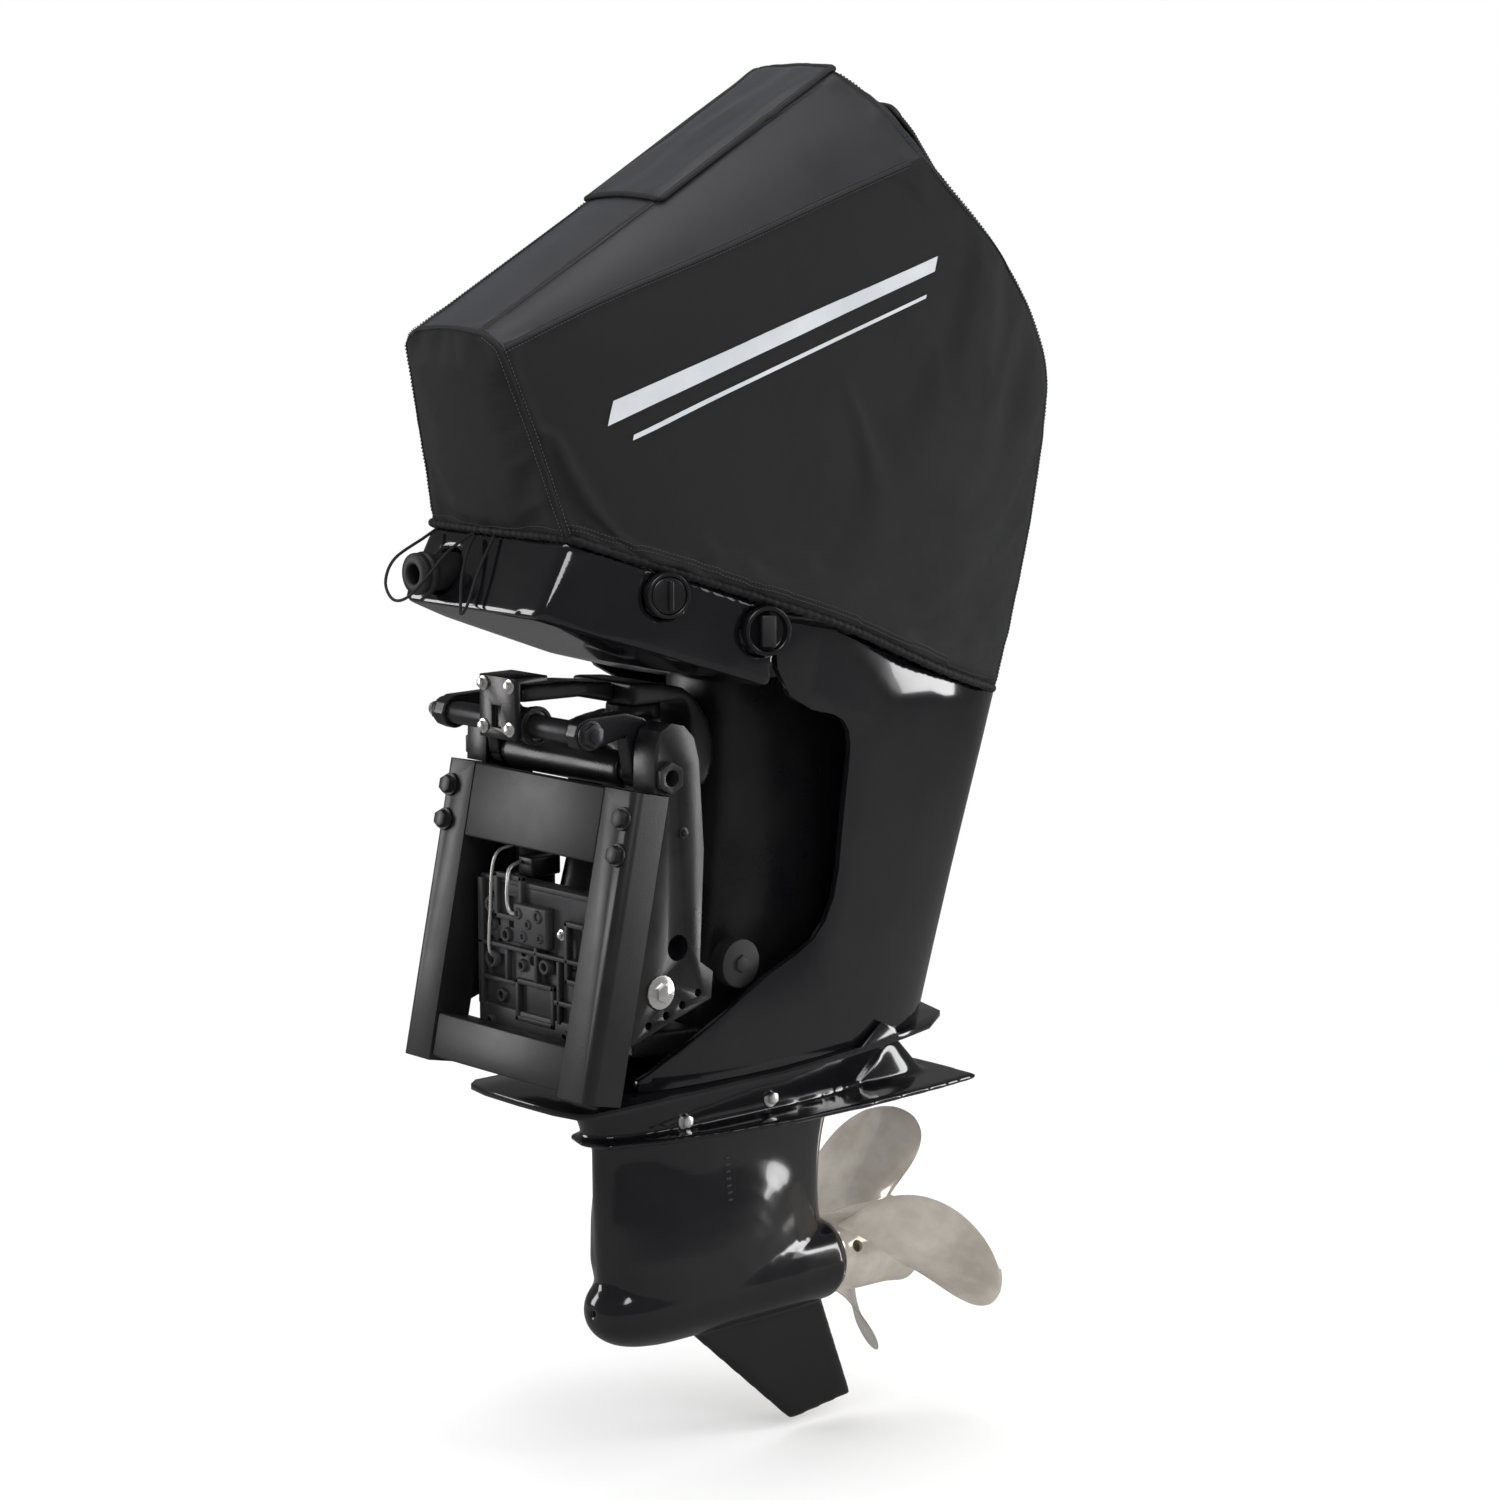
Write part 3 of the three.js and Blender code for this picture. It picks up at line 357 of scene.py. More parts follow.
def clad(material, colours, gloss, tint_from, gloss_from, height_from, bump, depth):
    """Wires masks to two colours and a range of roughness, and a height to a bump."""
    nodes, links = material.node_tree.nodes, material.node_tree.links
    shader = nodes["Principled BSDF"]
    tint = nodes.new("ShaderNodeMix")
    tint.data_type = "RGBA"
    tint.inputs["A"].default_value = (*colours[0], 1)
    tint.inputs["B"].default_value = (*colours[1], 1)
    links.new(tint_from, tint.inputs["Factor"])
    links.new(tint.outputs["Result"], shader.inputs["Base Color"])
    rough = nodes.new("ShaderNodeMapRange")
    rough.inputs["To Min"].default_value = gloss[0]
    rough.inputs["To Max"].default_value = gloss[1]
    links.new(gloss_from, rough.inputs["Value"])
    links.new(rough.outputs["Result"], shader.inputs["Roughness"])
    bumped = nodes.new("ShaderNodeBump")
    bumped.inputs["Strength"].default_value = bump
    bumped.inputs["Distance"].default_value = depth
    links.new(height_from, bumped.inputs["Height"])
    links.new(bumped.outputs["Normal"], shader.inputs["Normal"])
    return material


def effect(nodes, tree, socket, value):
    """A node that uses one of the shader groups, with one input set."""
    node = nodes.new("ShaderNodeGroup")
    node.node_tree = tree
    node.inputs[socket].default_value = value
    return node


def finish(name, low, high, gloss, metallic=0.0, coat=0.0, grain=600.0, bump=0.1):
    """A painted, cast or moulded finish: two close colours, a range of roughness and a fine bump."""
    material, nodes, links, _ = blank(name, Metallic=metallic, Coat_Weight=coat, Coat_Roughness=0.03)
    place_in = nodes.new("ShaderNodeTexCoord")
    grainy = effect(nodes, GRAIN, "Scale", grain)
    links.new(place_in.outputs["Object"], grainy.inputs["Vector"])
    mask, height = grainy.outputs["Mask"], grainy.outputs["Height"]
    return clad(material, (low, high), gloss, mask, mask, height, bump, RELIEF_DEPTH)


FINISH = {
    "gloss": finish(
        "gloss_black", (0.004, 0.004, 0.005), (0.006, 0.006, 0.007), (0.09, 0.16),
        coat=0.5, grain=220, bump=0.03),
    "casting": finish(
        "black_casting", (0.005, 0.005, 0.006), (0.009, 0.009, 0.01), (0.26, 0.38),
        grain=700, bump=0.3),
    "carrier": finish(
        "powder_coat", (0.007, 0.007, 0.008), (0.010, 0.010, 0.011), (0.36, 0.46),
        grain=420, bump=0.35),
    "satin": finish(
        "dark_plating", (0.03, 0.03, 0.032), (0.055, 0.055, 0.058), (0.28, 0.4),
        metallic=0.7, grain=500, bump=0.1),
    "steel": finish(
        "bright_steel", (0.6, 0.59, 0.57), (0.78, 0.77, 0.75), (0.18, 0.34),
        metallic=0.82, grain=800, bump=0.12),
    "polished": finish(
        "polished_stainless", (0.6, 0.54, 0.46), (0.96, 0.9, 0.82), (0.1, 0.22),
        metallic=0.55, grain=300, bump=0.05),
    "aluminium": finish(
        "cast_aluminium", (0.3, 0.31, 0.32), (0.42, 0.43, 0.44), (0.4, 0.55),
        metallic=0.9, grain=600, bump=0.3),
    "iron": finish(
        "grey_casting", (0.022, 0.022, 0.024), (0.042, 0.042, 0.045), (0.42, 0.58),
        metallic=0.2, grain=650, bump=0.5),
    "rubber": finish(
        "rubber", (0.008, 0.008, 0.008), (0.014, 0.014, 0.014), (0.5, 0.66),
        grain=500, bump=0.2),
    "plastic": finish(
        "black_plastic", (0.006, 0.006, 0.007), (0.010, 0.010, 0.011), (0.16, 0.26),
        grain=900, bump=0.08),
}


def cloth_finish(name, low, high, gloss, sheen, threads, bump):
    """Woven cloth on the piece's own UV map, which is laid out in metres."""
    material, nodes, links, _ = blank(
        name, Sheen_Weight=sheen, Specular_IOR_Level=0.35, Sheen_Roughness=0.45,
        Sheen_Tint=(0.5, 0.52, 0.56, 1))
    where = nodes.new("ShaderNodeTexCoord")
    weave = effect(nodes, WEAVE, "Threads", threads)
    links.new(where.outputs["UV"], weave.inputs["Vector"])
    slow = effect(nodes, GRAIN, "Scale", 60)
    links.new(where.outputs["Object"], slow.inputs["Vector"])
    shade = math_node(nodes, "MULTIPLY_ADD", 0.6)
    shade.use_clamp = True
    links.new(weave.outputs["Thread"], shade.inputs[0])
    links.new(slow.outputs["Mask"], shade.inputs[2])
    return clad(
        material, (low, high), gloss, shade.outputs[0], slow.outputs["Mask"], weave.outputs["Height"],
        bump, 0.0006)


# The side cloth is a matte fabric and the top cloth a glossier one. The side cloth's darker colour is
# partly painted shade, and the top cloth's lighter colour is partly painted light from above.
SIDE_CLOTH_WITH_PAINTED_SHADE = cloth_finish(
    "side_cloth_with_painted_shade", (0.004, 0.004, 0.0045), (0.0075, 0.0075, 0.008), (0.62, 0.8), 0.06, 260, 0.5)
TOP_CLOTH_WITH_PAINTED_LIGHT = cloth_finish(
    "top_cloth_with_painted_light", (0.010, 0.010, 0.013), (0.017, 0.017, 0.021), (0.36, 0.5), 0.16, 260, 0.35)
# The stitch thread is coloured lighter than the dark cloth, as a painted highlight on the dark stitches.
THREAD_WITH_PAINTED_HIGHLIGHT = finish(
    "stitch_thread_with_painted_highlight", (0.03, 0.03, 0.031), (0.05, 0.05, 0.052), (0.6, 0.75), grain=1500, bump=0.3)
WEBBING = finish("webbing", (0.007, 0.007, 0.008), (0.012, 0.012, 0.013), (0.6, 0.8), grain=1300, bump=0.6)
print("finishes", len(FINISH) + 4)

# %% [markdown]
# ## The tie cord
# A thin round cord hangs in two loops from under the cover's hem, over the rigging grommet. Both ends go
# back under the hem. Its route is a short list of points, and the cord is a smooth tube through them.

# %% Tie cord
CORD_ROUTE = [
    (-112, -66, 345), (-116, -84, 334), (-120, -128, 310), (-116, -146, 282), (-96, -150, 262),
    (-70, -147, 266), (-42, -138, 292), (-38, -108, 322), (-34, -76, 342), (-27, -72, 342),
    (-22, -86, 328), (-12, -104, 296), (0, -116, 262), (8, -122, 250), (14, -116, 262),
    (10, -96, 300), (6, -66, 345),
]
CORD_DIAMETER = 0.004
cord_path = line_through(np.array(CORD_ROUTE) * MM, 150)
tie_cord = tube("cover_tie_cord", cord_path, CORD_DIAMETER / 2, sides=10)
place(tie_cord, BODY_OF["tie_cord"], WEBBING, ["tie_cord"])

# %% [markdown]
# ## Castings and machined pieces
# A casting has no sharp edge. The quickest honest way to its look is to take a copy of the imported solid
# and round it. Machined pieces and thin walls have their loose triangles joined into flat faces and every
# real corner bevelled. Castings are fused into one skin of small even faces and relaxed, which fillets
# the inner corners too. The gearcase first gets a flank that carries the strut down into the gear housing.

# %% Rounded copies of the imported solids
def copy_of(node):
    """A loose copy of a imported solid."""
    piece = bpy.data.objects.new(f"{node}_finished", NODES[node].data.copy())
    bpy.context.collection.objects.link(piece)
    return piece


def rounded(node, width, segments=2, sharp=28, material=None):
    """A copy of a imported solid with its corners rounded, standing for that solid."""
    piece = copy_of(node)
    edit(piece, MERGE, (bpy.ops.mesh.dissolve_limited, {"angle_limit": math.radians(0.6)}))
    if width > 0:
        bevel = piece.modifiers.new("round", "BEVEL")
        bevel.width = width * MM
        bevel.segments = segments
        bevel.limit_method = "ANGLE"
        bevel.angle_limit = math.radians(sharp)
        bevel.use_clamp_overlap = True
        apply_modifiers(piece)
    smooth(piece, 32)
    return place(piece, BODY_OF[node], material or FINISH[SLOT_OF[node]], [node])


def strut_flank():
    """The fill between the strut and the gear housing, bored out so that shafts and gears stay clear."""
    levels = [
        (-716, 58, 150, 452), (-690, 60, 120, 456), (-640, 57.5, 106, 466), (-580, 51, 104, 478),
        (-510, 42, 108, 480),
    ]
    around = np.linspace(0, 2 * np.pi, 96, endpoint=False)
    vertices = []
    for z, half, front, rear in levels:
        middle = front + (rear - front) * 0.42
        for angle in around:
            blunt = 3.4 if math.cos(angle) < 0 else 2.3
            reach = middle - front if math.cos(angle) < 0 else rear - middle
            y = middle + reach * math.copysign(abs(math.cos(angle)) ** (2 / blunt), math.cos(angle))
            x = half * math.copysign(abs(math.sin(angle)) ** (2 / blunt), math.sin(angle))
            vertices.append((x * MM, y * MM, z * MM))
    flank = new_piece("strut_flank", vertices, ring_faces(len(levels), len(around)))
    edit(flank, OUTWARD)
    drill(flank, (0, 50, SHAFT_Z), (0, 520, SHAFT_Z), 48, 64)
    drill(flank, (0, 285, -760), (0, 285, -400), 29, 64)
    return flank


def cast(node, voxel, passes, body_material=None):
    """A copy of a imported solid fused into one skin, its inner corners filleted as a mould leaves them."""
    piece = copy_of(node)
    if node == "gearcase":
        piece = joined(f"{node}_finished", [piece, strut_flank()])
    edit(piece, MERGE)
    remesh = piece.modifiers.new("skin", "REMESH")
    remesh.mode = "VOXEL"
    remesh.voxel_size = voxel * MM
    relax = piece.modifiers.new("relax", "SMOOTH")
    relax.factor = 0.6
    relax.iterations = passes
    apply_modifiers(piece)
    soften(piece)
    place(piece, BODY_OF[node], body_material or FINISH[SLOT_OF[node]], [node])
    print(node, len(piece.data.polygons), "faces")
    return piece


CASTINGS = {
    "lower_cowl": (4, 12), "gearcase": (3.2, 24), "upper_yoke": (3, 12), "steering_arm": (2.5, 8),
    "steering_support_port": (1.8, 5), "steering_support_starboard": (1.8, 5), "swivel_bracket": (3, 6),
    "rigging_grommet": (1.6, 3), "lower_yoke": (3, 5),
}
for node_name, (voxel, passes) in CASTINGS.items():
    cast(node_name, voxel, passes)

ROUNDING = {
    "carrier_rail_port": 2.5, "carrier_rail_starboard": 2.5, "carrier_top_plate": 2.5,
    "carrier_bottom_bar": 2.5, "clamp_bracket_port": 3, "clamp_bracket_starboard": 3,
    "trim_manifold": 1.2, "trim_pump_motor": 2, "trim_fluid_tank": 2, "tilt_cylinder": 1.5,
    "steering_cylinder": 2, "steering_link_plate": 1.2, "lower_mount_port": 3, "lower_mount_starboard": 3,
    "flush_socket": 1.5, "flush_cap": 1.5, "tilt_switch_bezel": 2, "tilt_switch_rocker": 2,
    "tilt_tube": 1, "lower_pivot_bolt": 1, "steering_rod": 0.8, "trim_ram_port": 0.8,
    "trim_ram_starboard": 0.8, "tilt_rod": 0.8, "splash_plate": 2.5, "side_fairing_port": 2,
    "side_fairing_starboard": 2, "driveshaft_housing": 3,
}

# %% [markdown]
# The propeller's three blades are the same lens-shaped section all the way out, wrapped round the shaft
# on a helix. Each is lofted from 44 such sections, thicker where it grows out of the hub.

# %% Propeller
TIP = 185
HUB = 48
PITCH = 440
BLADE_Y = 566
ROOT_ANGLE = 15


def blade(turn):
    """One blade, in metres, turned about the shaft."""
    keys = [(50, 44), (80, 46), (112, 44.5), (142, 38), (164, 28), (177, 17), (183, 8), (TIP, 1)]
    smooth_keys = line_through([(r, h, 0) for r, h in keys], 44)
    around = np.linspace(0, 2 * np.pi, 40, endpoint=False)
    vertices = []
    for radius, half, _ in smooth_keys:
        outward = (radius - HUB) / (TIP - HUB)
        mean = ROOT_ANGLE - 18 * outward
        root = 7 * math.exp(-max(0, radius - 57) / 7)
        thickness = 5.5 - 4.4 * outward + root
        sweep = -(half + root * 0.6) * np.cos(around)
        cup = 5 * outward * np.clip(np.cos(around), 0, 1) ** 3
        angle = np.radians(mean + sweep + turn)
        helix = PITCH * (ROOT_ANGLE - mean - sweep) / 360
        y = BLADE_Y + 0.6 * (radius - HUB) + helix + thickness * np.sin(around) + cup
        vertices.extend(zip(radius * np.cos(angle), y, SHAFT_Z + radius * np.sin(angle)))
    return new_piece("blade", np.array(vertices) * MM, ring_faces(len(smooth_keys), len(around)))


def lathe(name, profile, centre, axis, steps=72):
    """A turned piece: the profile is (radius, distance along the axis) in millimetres, closed on itself."""
    axis = Vector(axis)
    side = axis.orthogonal().normalized()
    points = [Vector(centre) * MM + side * r * MM + axis * a * MM for r, a in profile]
    edges = [(i, (i + 1) % len(points)) for i in range(len(points))]
    mesh = bpy.data.meshes.new(name)
    mesh.from_pydata([tuple(p) for p in points], edges, [])
    piece = bpy.data.objects.new(name, mesh)
    bpy.context.collection.objects.link(piece)
    turn = {"steps": steps, "angle": 2 * math.pi, "center": tuple(Vector(centre) * MM), "axis": tuple(axis)}
    edit(piece, (bpy.ops.mesh.spin, turn), MERGE, OUTWARD)
    return piece


HUB_PROFILE = [
    (49, 508), (52, 505), (54, 508), (55, 530), (57, 560), (57.5, 600), (58.5, 618), (61, 634), (62, 640),
    (59.5, 640.5), (56, 628), (52, 612), (49, 590),
]
CORE_PROFILE = [(13, 509), (30, 509), (30, 598), (27, 600), (13, 600)]
wheel = [blade(turn) for turn in (0, 120, 240)]
hub = lathe("hub", HUB_PROFILE, (0, 0, SHAFT_Z), (0, 1, 0), 96)
for turn in (22, 142, 262):
    angle = math.radians(turn)
    outward = Vector((math.cos(angle), 0, math.sin(angle)))
    middle = Vector((0, 527, SHAFT_Z)) + outward * 52
    drill(hub, middle - outward * 20, middle + outward * 20, 8.5, 40)
wheel.append(hub)
wheel.append(lathe("core", CORE_PROFILE, (0, 0, SHAFT_Z), (0, 1, 0)))
for turn in (90, 210, 330):
    angle = math.radians(turn)
    bpy.ops.object.select_all(action="DESELECT")
    bpy.ops.mesh.primitive_cube_add(size=1, location=(0, 0.553, 0.0395), scale=(0.008, 0.085, 0.025))
    rib = bpy.context.active_object
    bpy.ops.object.transform_apply(location=True, rotation=True, scale=True)
    rib.rotation_euler = (0, angle, 0)
    rib.location = (0, 0, SHAFT_Z * MM)
    bpy.ops.object.transform_apply(location=True, rotation=True, scale=True)
    wheel.append(rib)
propeller = joined("propeller_finished", wheel)
edit(propeller, OUTWARD)
smooth(propeller, 40)
place(propeller, BODY_OF["propeller"], FINISH["polished"], ["propeller"])
print("propeller", len(propeller.data.polygons), "faces")

# %% Bolts
for side in ("port", "starboard"):
    for row in (1, 2):
        ROUNDING[f"carrier_bolt_{side}_{row}"] = 0.8
for node_name, width in ROUNDING.items():
    rounded(node_name, width)
for node_name, node in NODES.items():
    if node_name not in ROUNDING and node_name not in CASTINGS and SLOT_OF[node_name] in FINISH:
        node.data.materials.clear()
        node.data.materials.append(FINISH[SLOT_OF[node_name]])
print("rounded", len(ROUNDING))

# %% [markdown]
# ## The cover
# The cover is sewn from seven panels: a front, two sides, two shoulders, a top and a rear. The seams are
# drawn first as curves that neighbours share. Each panel is then filled between its four seams, so the
# panels meet exactly, and the whole is merged into one shell before it is simulated as cloth.

# %% Seam curves
def mirrored(points):
    """The same curve on the starboard side."""
    flipped = np.array(points, dtype=float)
    flipped[:, 0] *= -1
    return flipped


ALONG, SIDE_UP, SHOULDER_UP, ACROSS = 84, 56, 14, 18
HEM_SIDE = line_through(np.array([
    (136, -55, 350), (166, 22, 322), (196, 111, 292), (222, 216, 256), (238, 326, 217), (238, 488, 150),
    (196, 640, 103)]) * MM, ALONG)
SHOULDER = line_through(np.array([
    (97, -125, 582), (118, 20, 640), (140, 195, 699), (158, 370, 762), (170, 525, 815)]) * MM, ALONG)
FRONT_SEAM = line_through(np.array([(136, -55, 350), (119, -88, 462), (97, -125, 582)]) * MM, SIDE_UP)
REAR_LOW = line_through(np.array([
    (196, 640, 103), (198, 671, 196), (199, 712, 350), (198, 736, 510), (198, 709, 598), (198, 664, 665),
    (196, 612, 722), (170, 525, 815)]) * MM, SIDE_UP)
TOP_EDGE = line_through(np.array([
    (63, -130, 603), (64, 20, 686), (66, 169, 769), (70, 310, 848), (75, 452, 927)]) * MM, ALONG)
FRONT_CORNER = line_through(np.array([(97, -125, 582), (82, -129, 595), (63, -130, 603)]) * MM, SHOULDER_UP)
REAR_CORNER = line_through(np.array([(170, 525, 815), (128, 498, 872), (75, 452, 927)]) * MM, SHOULDER_UP)
FRONT_ARCH = line_through(np.array([(-63, -130, 603), (0, -131, 607), (63, -130, 603)]) * MM, ACROSS)
APEX = line_through(np.array([(-75, 452, 927), (0, 455, 931), (75, 452, 927)]) * MM, ACROSS)
print("seams", len(HEM_SIDE), len(REAR_LOW))


# %% Panels
def fill_panel(bottom, top, left, right):
    """Points between four seams that share corners: bottom and top run along, left and right run up."""
    columns = len(bottom)
    rows = len(left)
    u = np.linspace(0, 1, columns)[None, :, None]
    v = np.linspace(0, 1, rows)[:, None, None]
    ruled_up = (1 - v) * bottom[None] + v * top[None]
    ruled_along = (1 - u) * left[:, None] + u * right[:, None]
    corners = (
        (1 - u) * (1 - v) * bottom[0] + u * (1 - v) * bottom[-1] + (1 - u) * v * top[0] + u * v * top[-1])
    return ruled_up + ruled_along - corners


def swell(panel, amount, direction):
    """Pushes the middle of a panel out, and leaves its seams where they are."""
    rows, columns = panel.shape[:2]
    u = np.sin(np.pi * np.linspace(0, 1, columns))[None, :, None]
    v = np.sin(np.pi * np.linspace(0, 1, rows))[:, None, None]
    return panel + amount * MM * np.sqrt(u * v) * np.array(direction)


front_up = np.vstack([FRONT_SEAM, FRONT_CORNER[1:]])
rear_up = np.vstack([REAR_LOW, REAR_CORNER[1:]])
front_hem = line_through(np.array([(-136, -55, 350), (0, -62, 350), (136, -55, 350)]) * MM, ACROSS)
rear_hem = line_through(np.array([
    (196, 640, 103), (110, 680, 98), (0, 690, 96), (-110, 680, 98), (-196, 640, 103)]) * MM, ACROSS)
side_panel = swell(fill_panel(HEM_SIDE, SHOULDER, FRONT_SEAM, REAR_LOW), 7, (1, 0, 0))
shoulder_panel = swell(fill_panel(SHOULDER, TOP_EDGE, FRONT_CORNER, REAR_CORNER), 6, (0.6, 0, 0.8))
top_panel = swell(fill_panel(mirrored(TOP_EDGE), TOP_EDGE, FRONT_ARCH, APEX), 3, (0, -0.5, 0.87))
front_panel = swell(fill_panel(front_hem, FRONT_ARCH, mirrored(front_up), front_up), 5, (0, -1, 0))
rear_panel = swell(fill_panel(rear_hem, APEX[::-1], rear_up, mirrored(rear_up)), 9, (0, 1, 0.25))
PANELS = {
    "side_port": side_panel,
    "side_starboard": side_panel * np.array([-1, 1, 1]),
    "shoulder_port": shoulder_panel,
    "shoulder_starboard": shoulder_panel * np.array([-1, 1, 1]),
    "top": top_panel,
    "front": front_panel,
    "rear": rear_panel,
}


# %% Sew the panels into one shell
def sew(panels):
    """One mesh from the panel grids, with a UV map in metres and a second material for the shiny top
    panels, whose lighter colour is partly painted light from above.
    """
    vertices = []
    faces = []
    uvs = []
    shiny = []
    for name, grid in panels.items():
        rows, columns = grid.shape[:2]
        start = len(vertices)
        vertices.extend(grid.reshape(-1, 3))
        across = np.cumsum(np.linalg.norm(np.diff(grid, axis=1, prepend=grid[:, :1]), axis=2), axis=1)
        up = np.cumsum(np.linalg.norm(np.diff(grid, axis=0, prepend=grid[:1]), axis=2), axis=0)
        for i in range(rows - 1):
            for j in range(columns - 1):
                corners = ((i, j), (i, j + 1), (i + 1, j + 1), (i + 1, j))
                faces.append(tuple(start + r * columns + c for r, c in corners))
                uvs.extend((across[r, c], up[r, c]) for r, c in corners)
                shiny.append(name.startswith(("shoulder", "top")))
    piece = new_piece("cowl_cover", vertices, faces)
    layer = piece.data.uv_layers.new(name="UVMap")
    layer.data.foreach_set("uv", np.array(uvs, dtype=float).ravel())
    piece.data.polygons.foreach_set("material_index", np.array(shiny, dtype=np.int32))
    return piece


cover = sew(PANELS)
edit(cover, (bpy.ops.mesh.remove_doubles, {"threshold": 0.0008}), OUTWARD)

HEART = Vector((0, 0.3, 0.45))


def stretch_over(piece, node, slack):
    """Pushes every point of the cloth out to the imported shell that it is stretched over."""
    shell = NODES[node].data
    tree = BVHTree.FromPolygons([v.co[:] for v in shell.vertices], [p.vertices[:] for p in shell.polygons])
    pushed = 0
    for vertex in piece.data.vertices:
        outward = vertex.co - HEART
        reach = outward.length
        hit, _, _, far = tree.ray_cast(HEART + outward.normalized() * 2, -outward.normalized())
        if hit is not None:
            wanted = 2 - far - slack
            if reach < wanted < reach + 0.08:
                vertex.co = HEART + outward.normalized() * wanted
                pushed += 1
    return pushed


print("cover", len(cover.data.vertices), "points,", stretch_over(cover, "cover", 0.0012), "stretched")
ease = cover.modifiers.new("ease", "SMOOTH")
ease.factor = 0.5
ease.iterations = 3
apply_modifiers(cover)

# %% [markdown]
# The cloth hangs on the hard cowl, pulled tight by its seams. The seams are pinned, the cloth between them
# is a touch longer than the gap that it spans, and a little air holds it off the cowl. So it buckles in
# soft ripples that run across each panel, as a fitted nylon cover does. Its points may then move 8 mm at
# most, and barely inwards, so the hard cowl never shows through.

# %% Simulate the cloth
PINNED = "pinned"
SETTLE_FRAMES = 20
LONGER = -0.022
CAP = 0.008
SINK = 0.0015


def pin_seams(piece, curves, reach):
    """Pins the points of the cloth that lie on a seam."""
    keys = np.vstack(curves)
    points = np.array([v.co[:] for v in piece.data.vertices])
    nearest = np.full(len(points), 9.0)
    for start in range(0, len(keys), 200):
        gap = np.linalg.norm(points[:, None] - keys[None, start:start + 200], axis=2).min(axis=1)
        nearest = np.minimum(nearest, gap)
    group = piece.vertex_groups.new(name=PINNED)
    for index, gap in enumerate(nearest):
        if gap < reach:
            group.add([index], 1.0, "REPLACE")


seam_curves = [HEM_SIDE, SHOULDER, FRONT_SEAM, REAR_LOW, TOP_EDGE, FRONT_CORNER, REAR_CORNER]
all_seams = seam_curves + [mirrored(curve) for curve in seam_curves]
all_seams += [front_hem, rear_hem, FRONT_ARCH, APEX]
pin_seams(cover, all_seams, 0.004)
rest_points = np.array([v.co[:] for v in cover.data.vertices])

cloth = cover.modifiers.new("cloth", "CLOTH")
cloth.settings.quality = 5
cloth.settings.mass = 0.25
cloth.settings.tension_stiffness = 18
cloth.settings.compression_stiffness = 18
cloth.settings.shear_stiffness = 8
cloth.settings.bending_stiffness = 0.25
cloth.settings.shrink_min = LONGER
cloth.settings.shrink_max = LONGER
cloth.settings.use_pressure = True
cloth.settings.uniform_pressure_force = 0.6
cloth.settings.vertex_group_mass = PINNED
cloth.settings.effector_weights.gravity = 0.25
cloth.collision_settings.use_collision = False
cloth.collision_settings.use_self_collision = False
for step in range(1, SETTLE_FRAMES + 1):
    bpy.context.scene.frame_set(step)
graph = bpy.context.evaluated_depsgraph_get()
settled = cover.evaluated_get(graph).to_mesh()
moved = np.array([v.co[:] for v in settled.vertices])
cover.evaluated_get(graph).to_mesh_clear()
cover.modifiers.remove(cloth)
bpy.context.scene.frame_set(1)
shift = moved - rest_points
size = np.linalg.norm(shift, axis=1, keepdims=True)
shift *= np.minimum(1, CAP / np.maximum(size, 1e-9))
outward = np.array([v.normal[:] for v in cover.data.vertices])
along_normal = (shift * outward).sum(axis=1, keepdims=True)
shift += outward * (np.maximum(along_normal, -SINK) - along_normal)
cover.data.vertices.foreach_set("co", (rest_points + shift).ravel())
cover.data.update()
print("cloth moved up to", round(float(size.max()) * 1000, 1), "mm")

# %% Subdivision and seams
subdivide = cover.modifiers.new("fine", "SUBSURF")
subdivide.levels = 1
subdivide.render_levels = 1
apply_modifiers(cover)
soften(cover)
# Sides, front and rear take the side cloth, darker partly as painted shade; shoulders and top take the top
# cloth, lighter partly as painted light from above.
cover.data.materials.append(SIDE_CLOTH_WITH_PAINTED_SHADE)
cover.data.materials.append(TOP_CLOTH_WITH_PAINTED_LIGHT)
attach(cover, BODY_OF["cover"])
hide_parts("cover")


def surface_area(piece):
    return float(sum(polygon.area for polygon in piece.data.polygons))


print("cover area", round(surface_area(cover), 3), "m2")


def on_cover(point, lift):
    """The point on the cover nearest to one given, lifted off it, with the surface normal there."""
    _, spot, normal, _ = cover.closest_point_on_mesh(Vector(point))
    outward = Vector(point) - HEART
    if normal.dot(outward) < 0:
        normal = -normal
    return spot + normal * lift, normal


def seam_band(name, curve, width=0.007, lift=0.0007):
    """A flat sewn band that follows a seam, rounded over at its edges."""
    profile = [(-0.5, -0.3), (-0.42, 0.6), (0, 1), (0.42, 0.6), (0.5, -0.3)]
    vertices = []
    frames = []
    for i, point in enumerate(curve):
        ahead = Vector(curve[min(i + 1, len(curve) - 1)])
        behind = Vector(curve[max(i - 1, 0)])
        spot, normal = on_cover(point, 0)
        side = (ahead - behind).normalized().cross(normal).normalized()
        frames.append((spot, normal, side))
        for across, high in profile:
            vertices.append(spot + side * (across * width) + normal * (high * 2 * lift))
    piece = new_piece(name, vertices, ring_faces(len(curve), len(profile), capped=False))
    soften(piece)
    return piece, frames


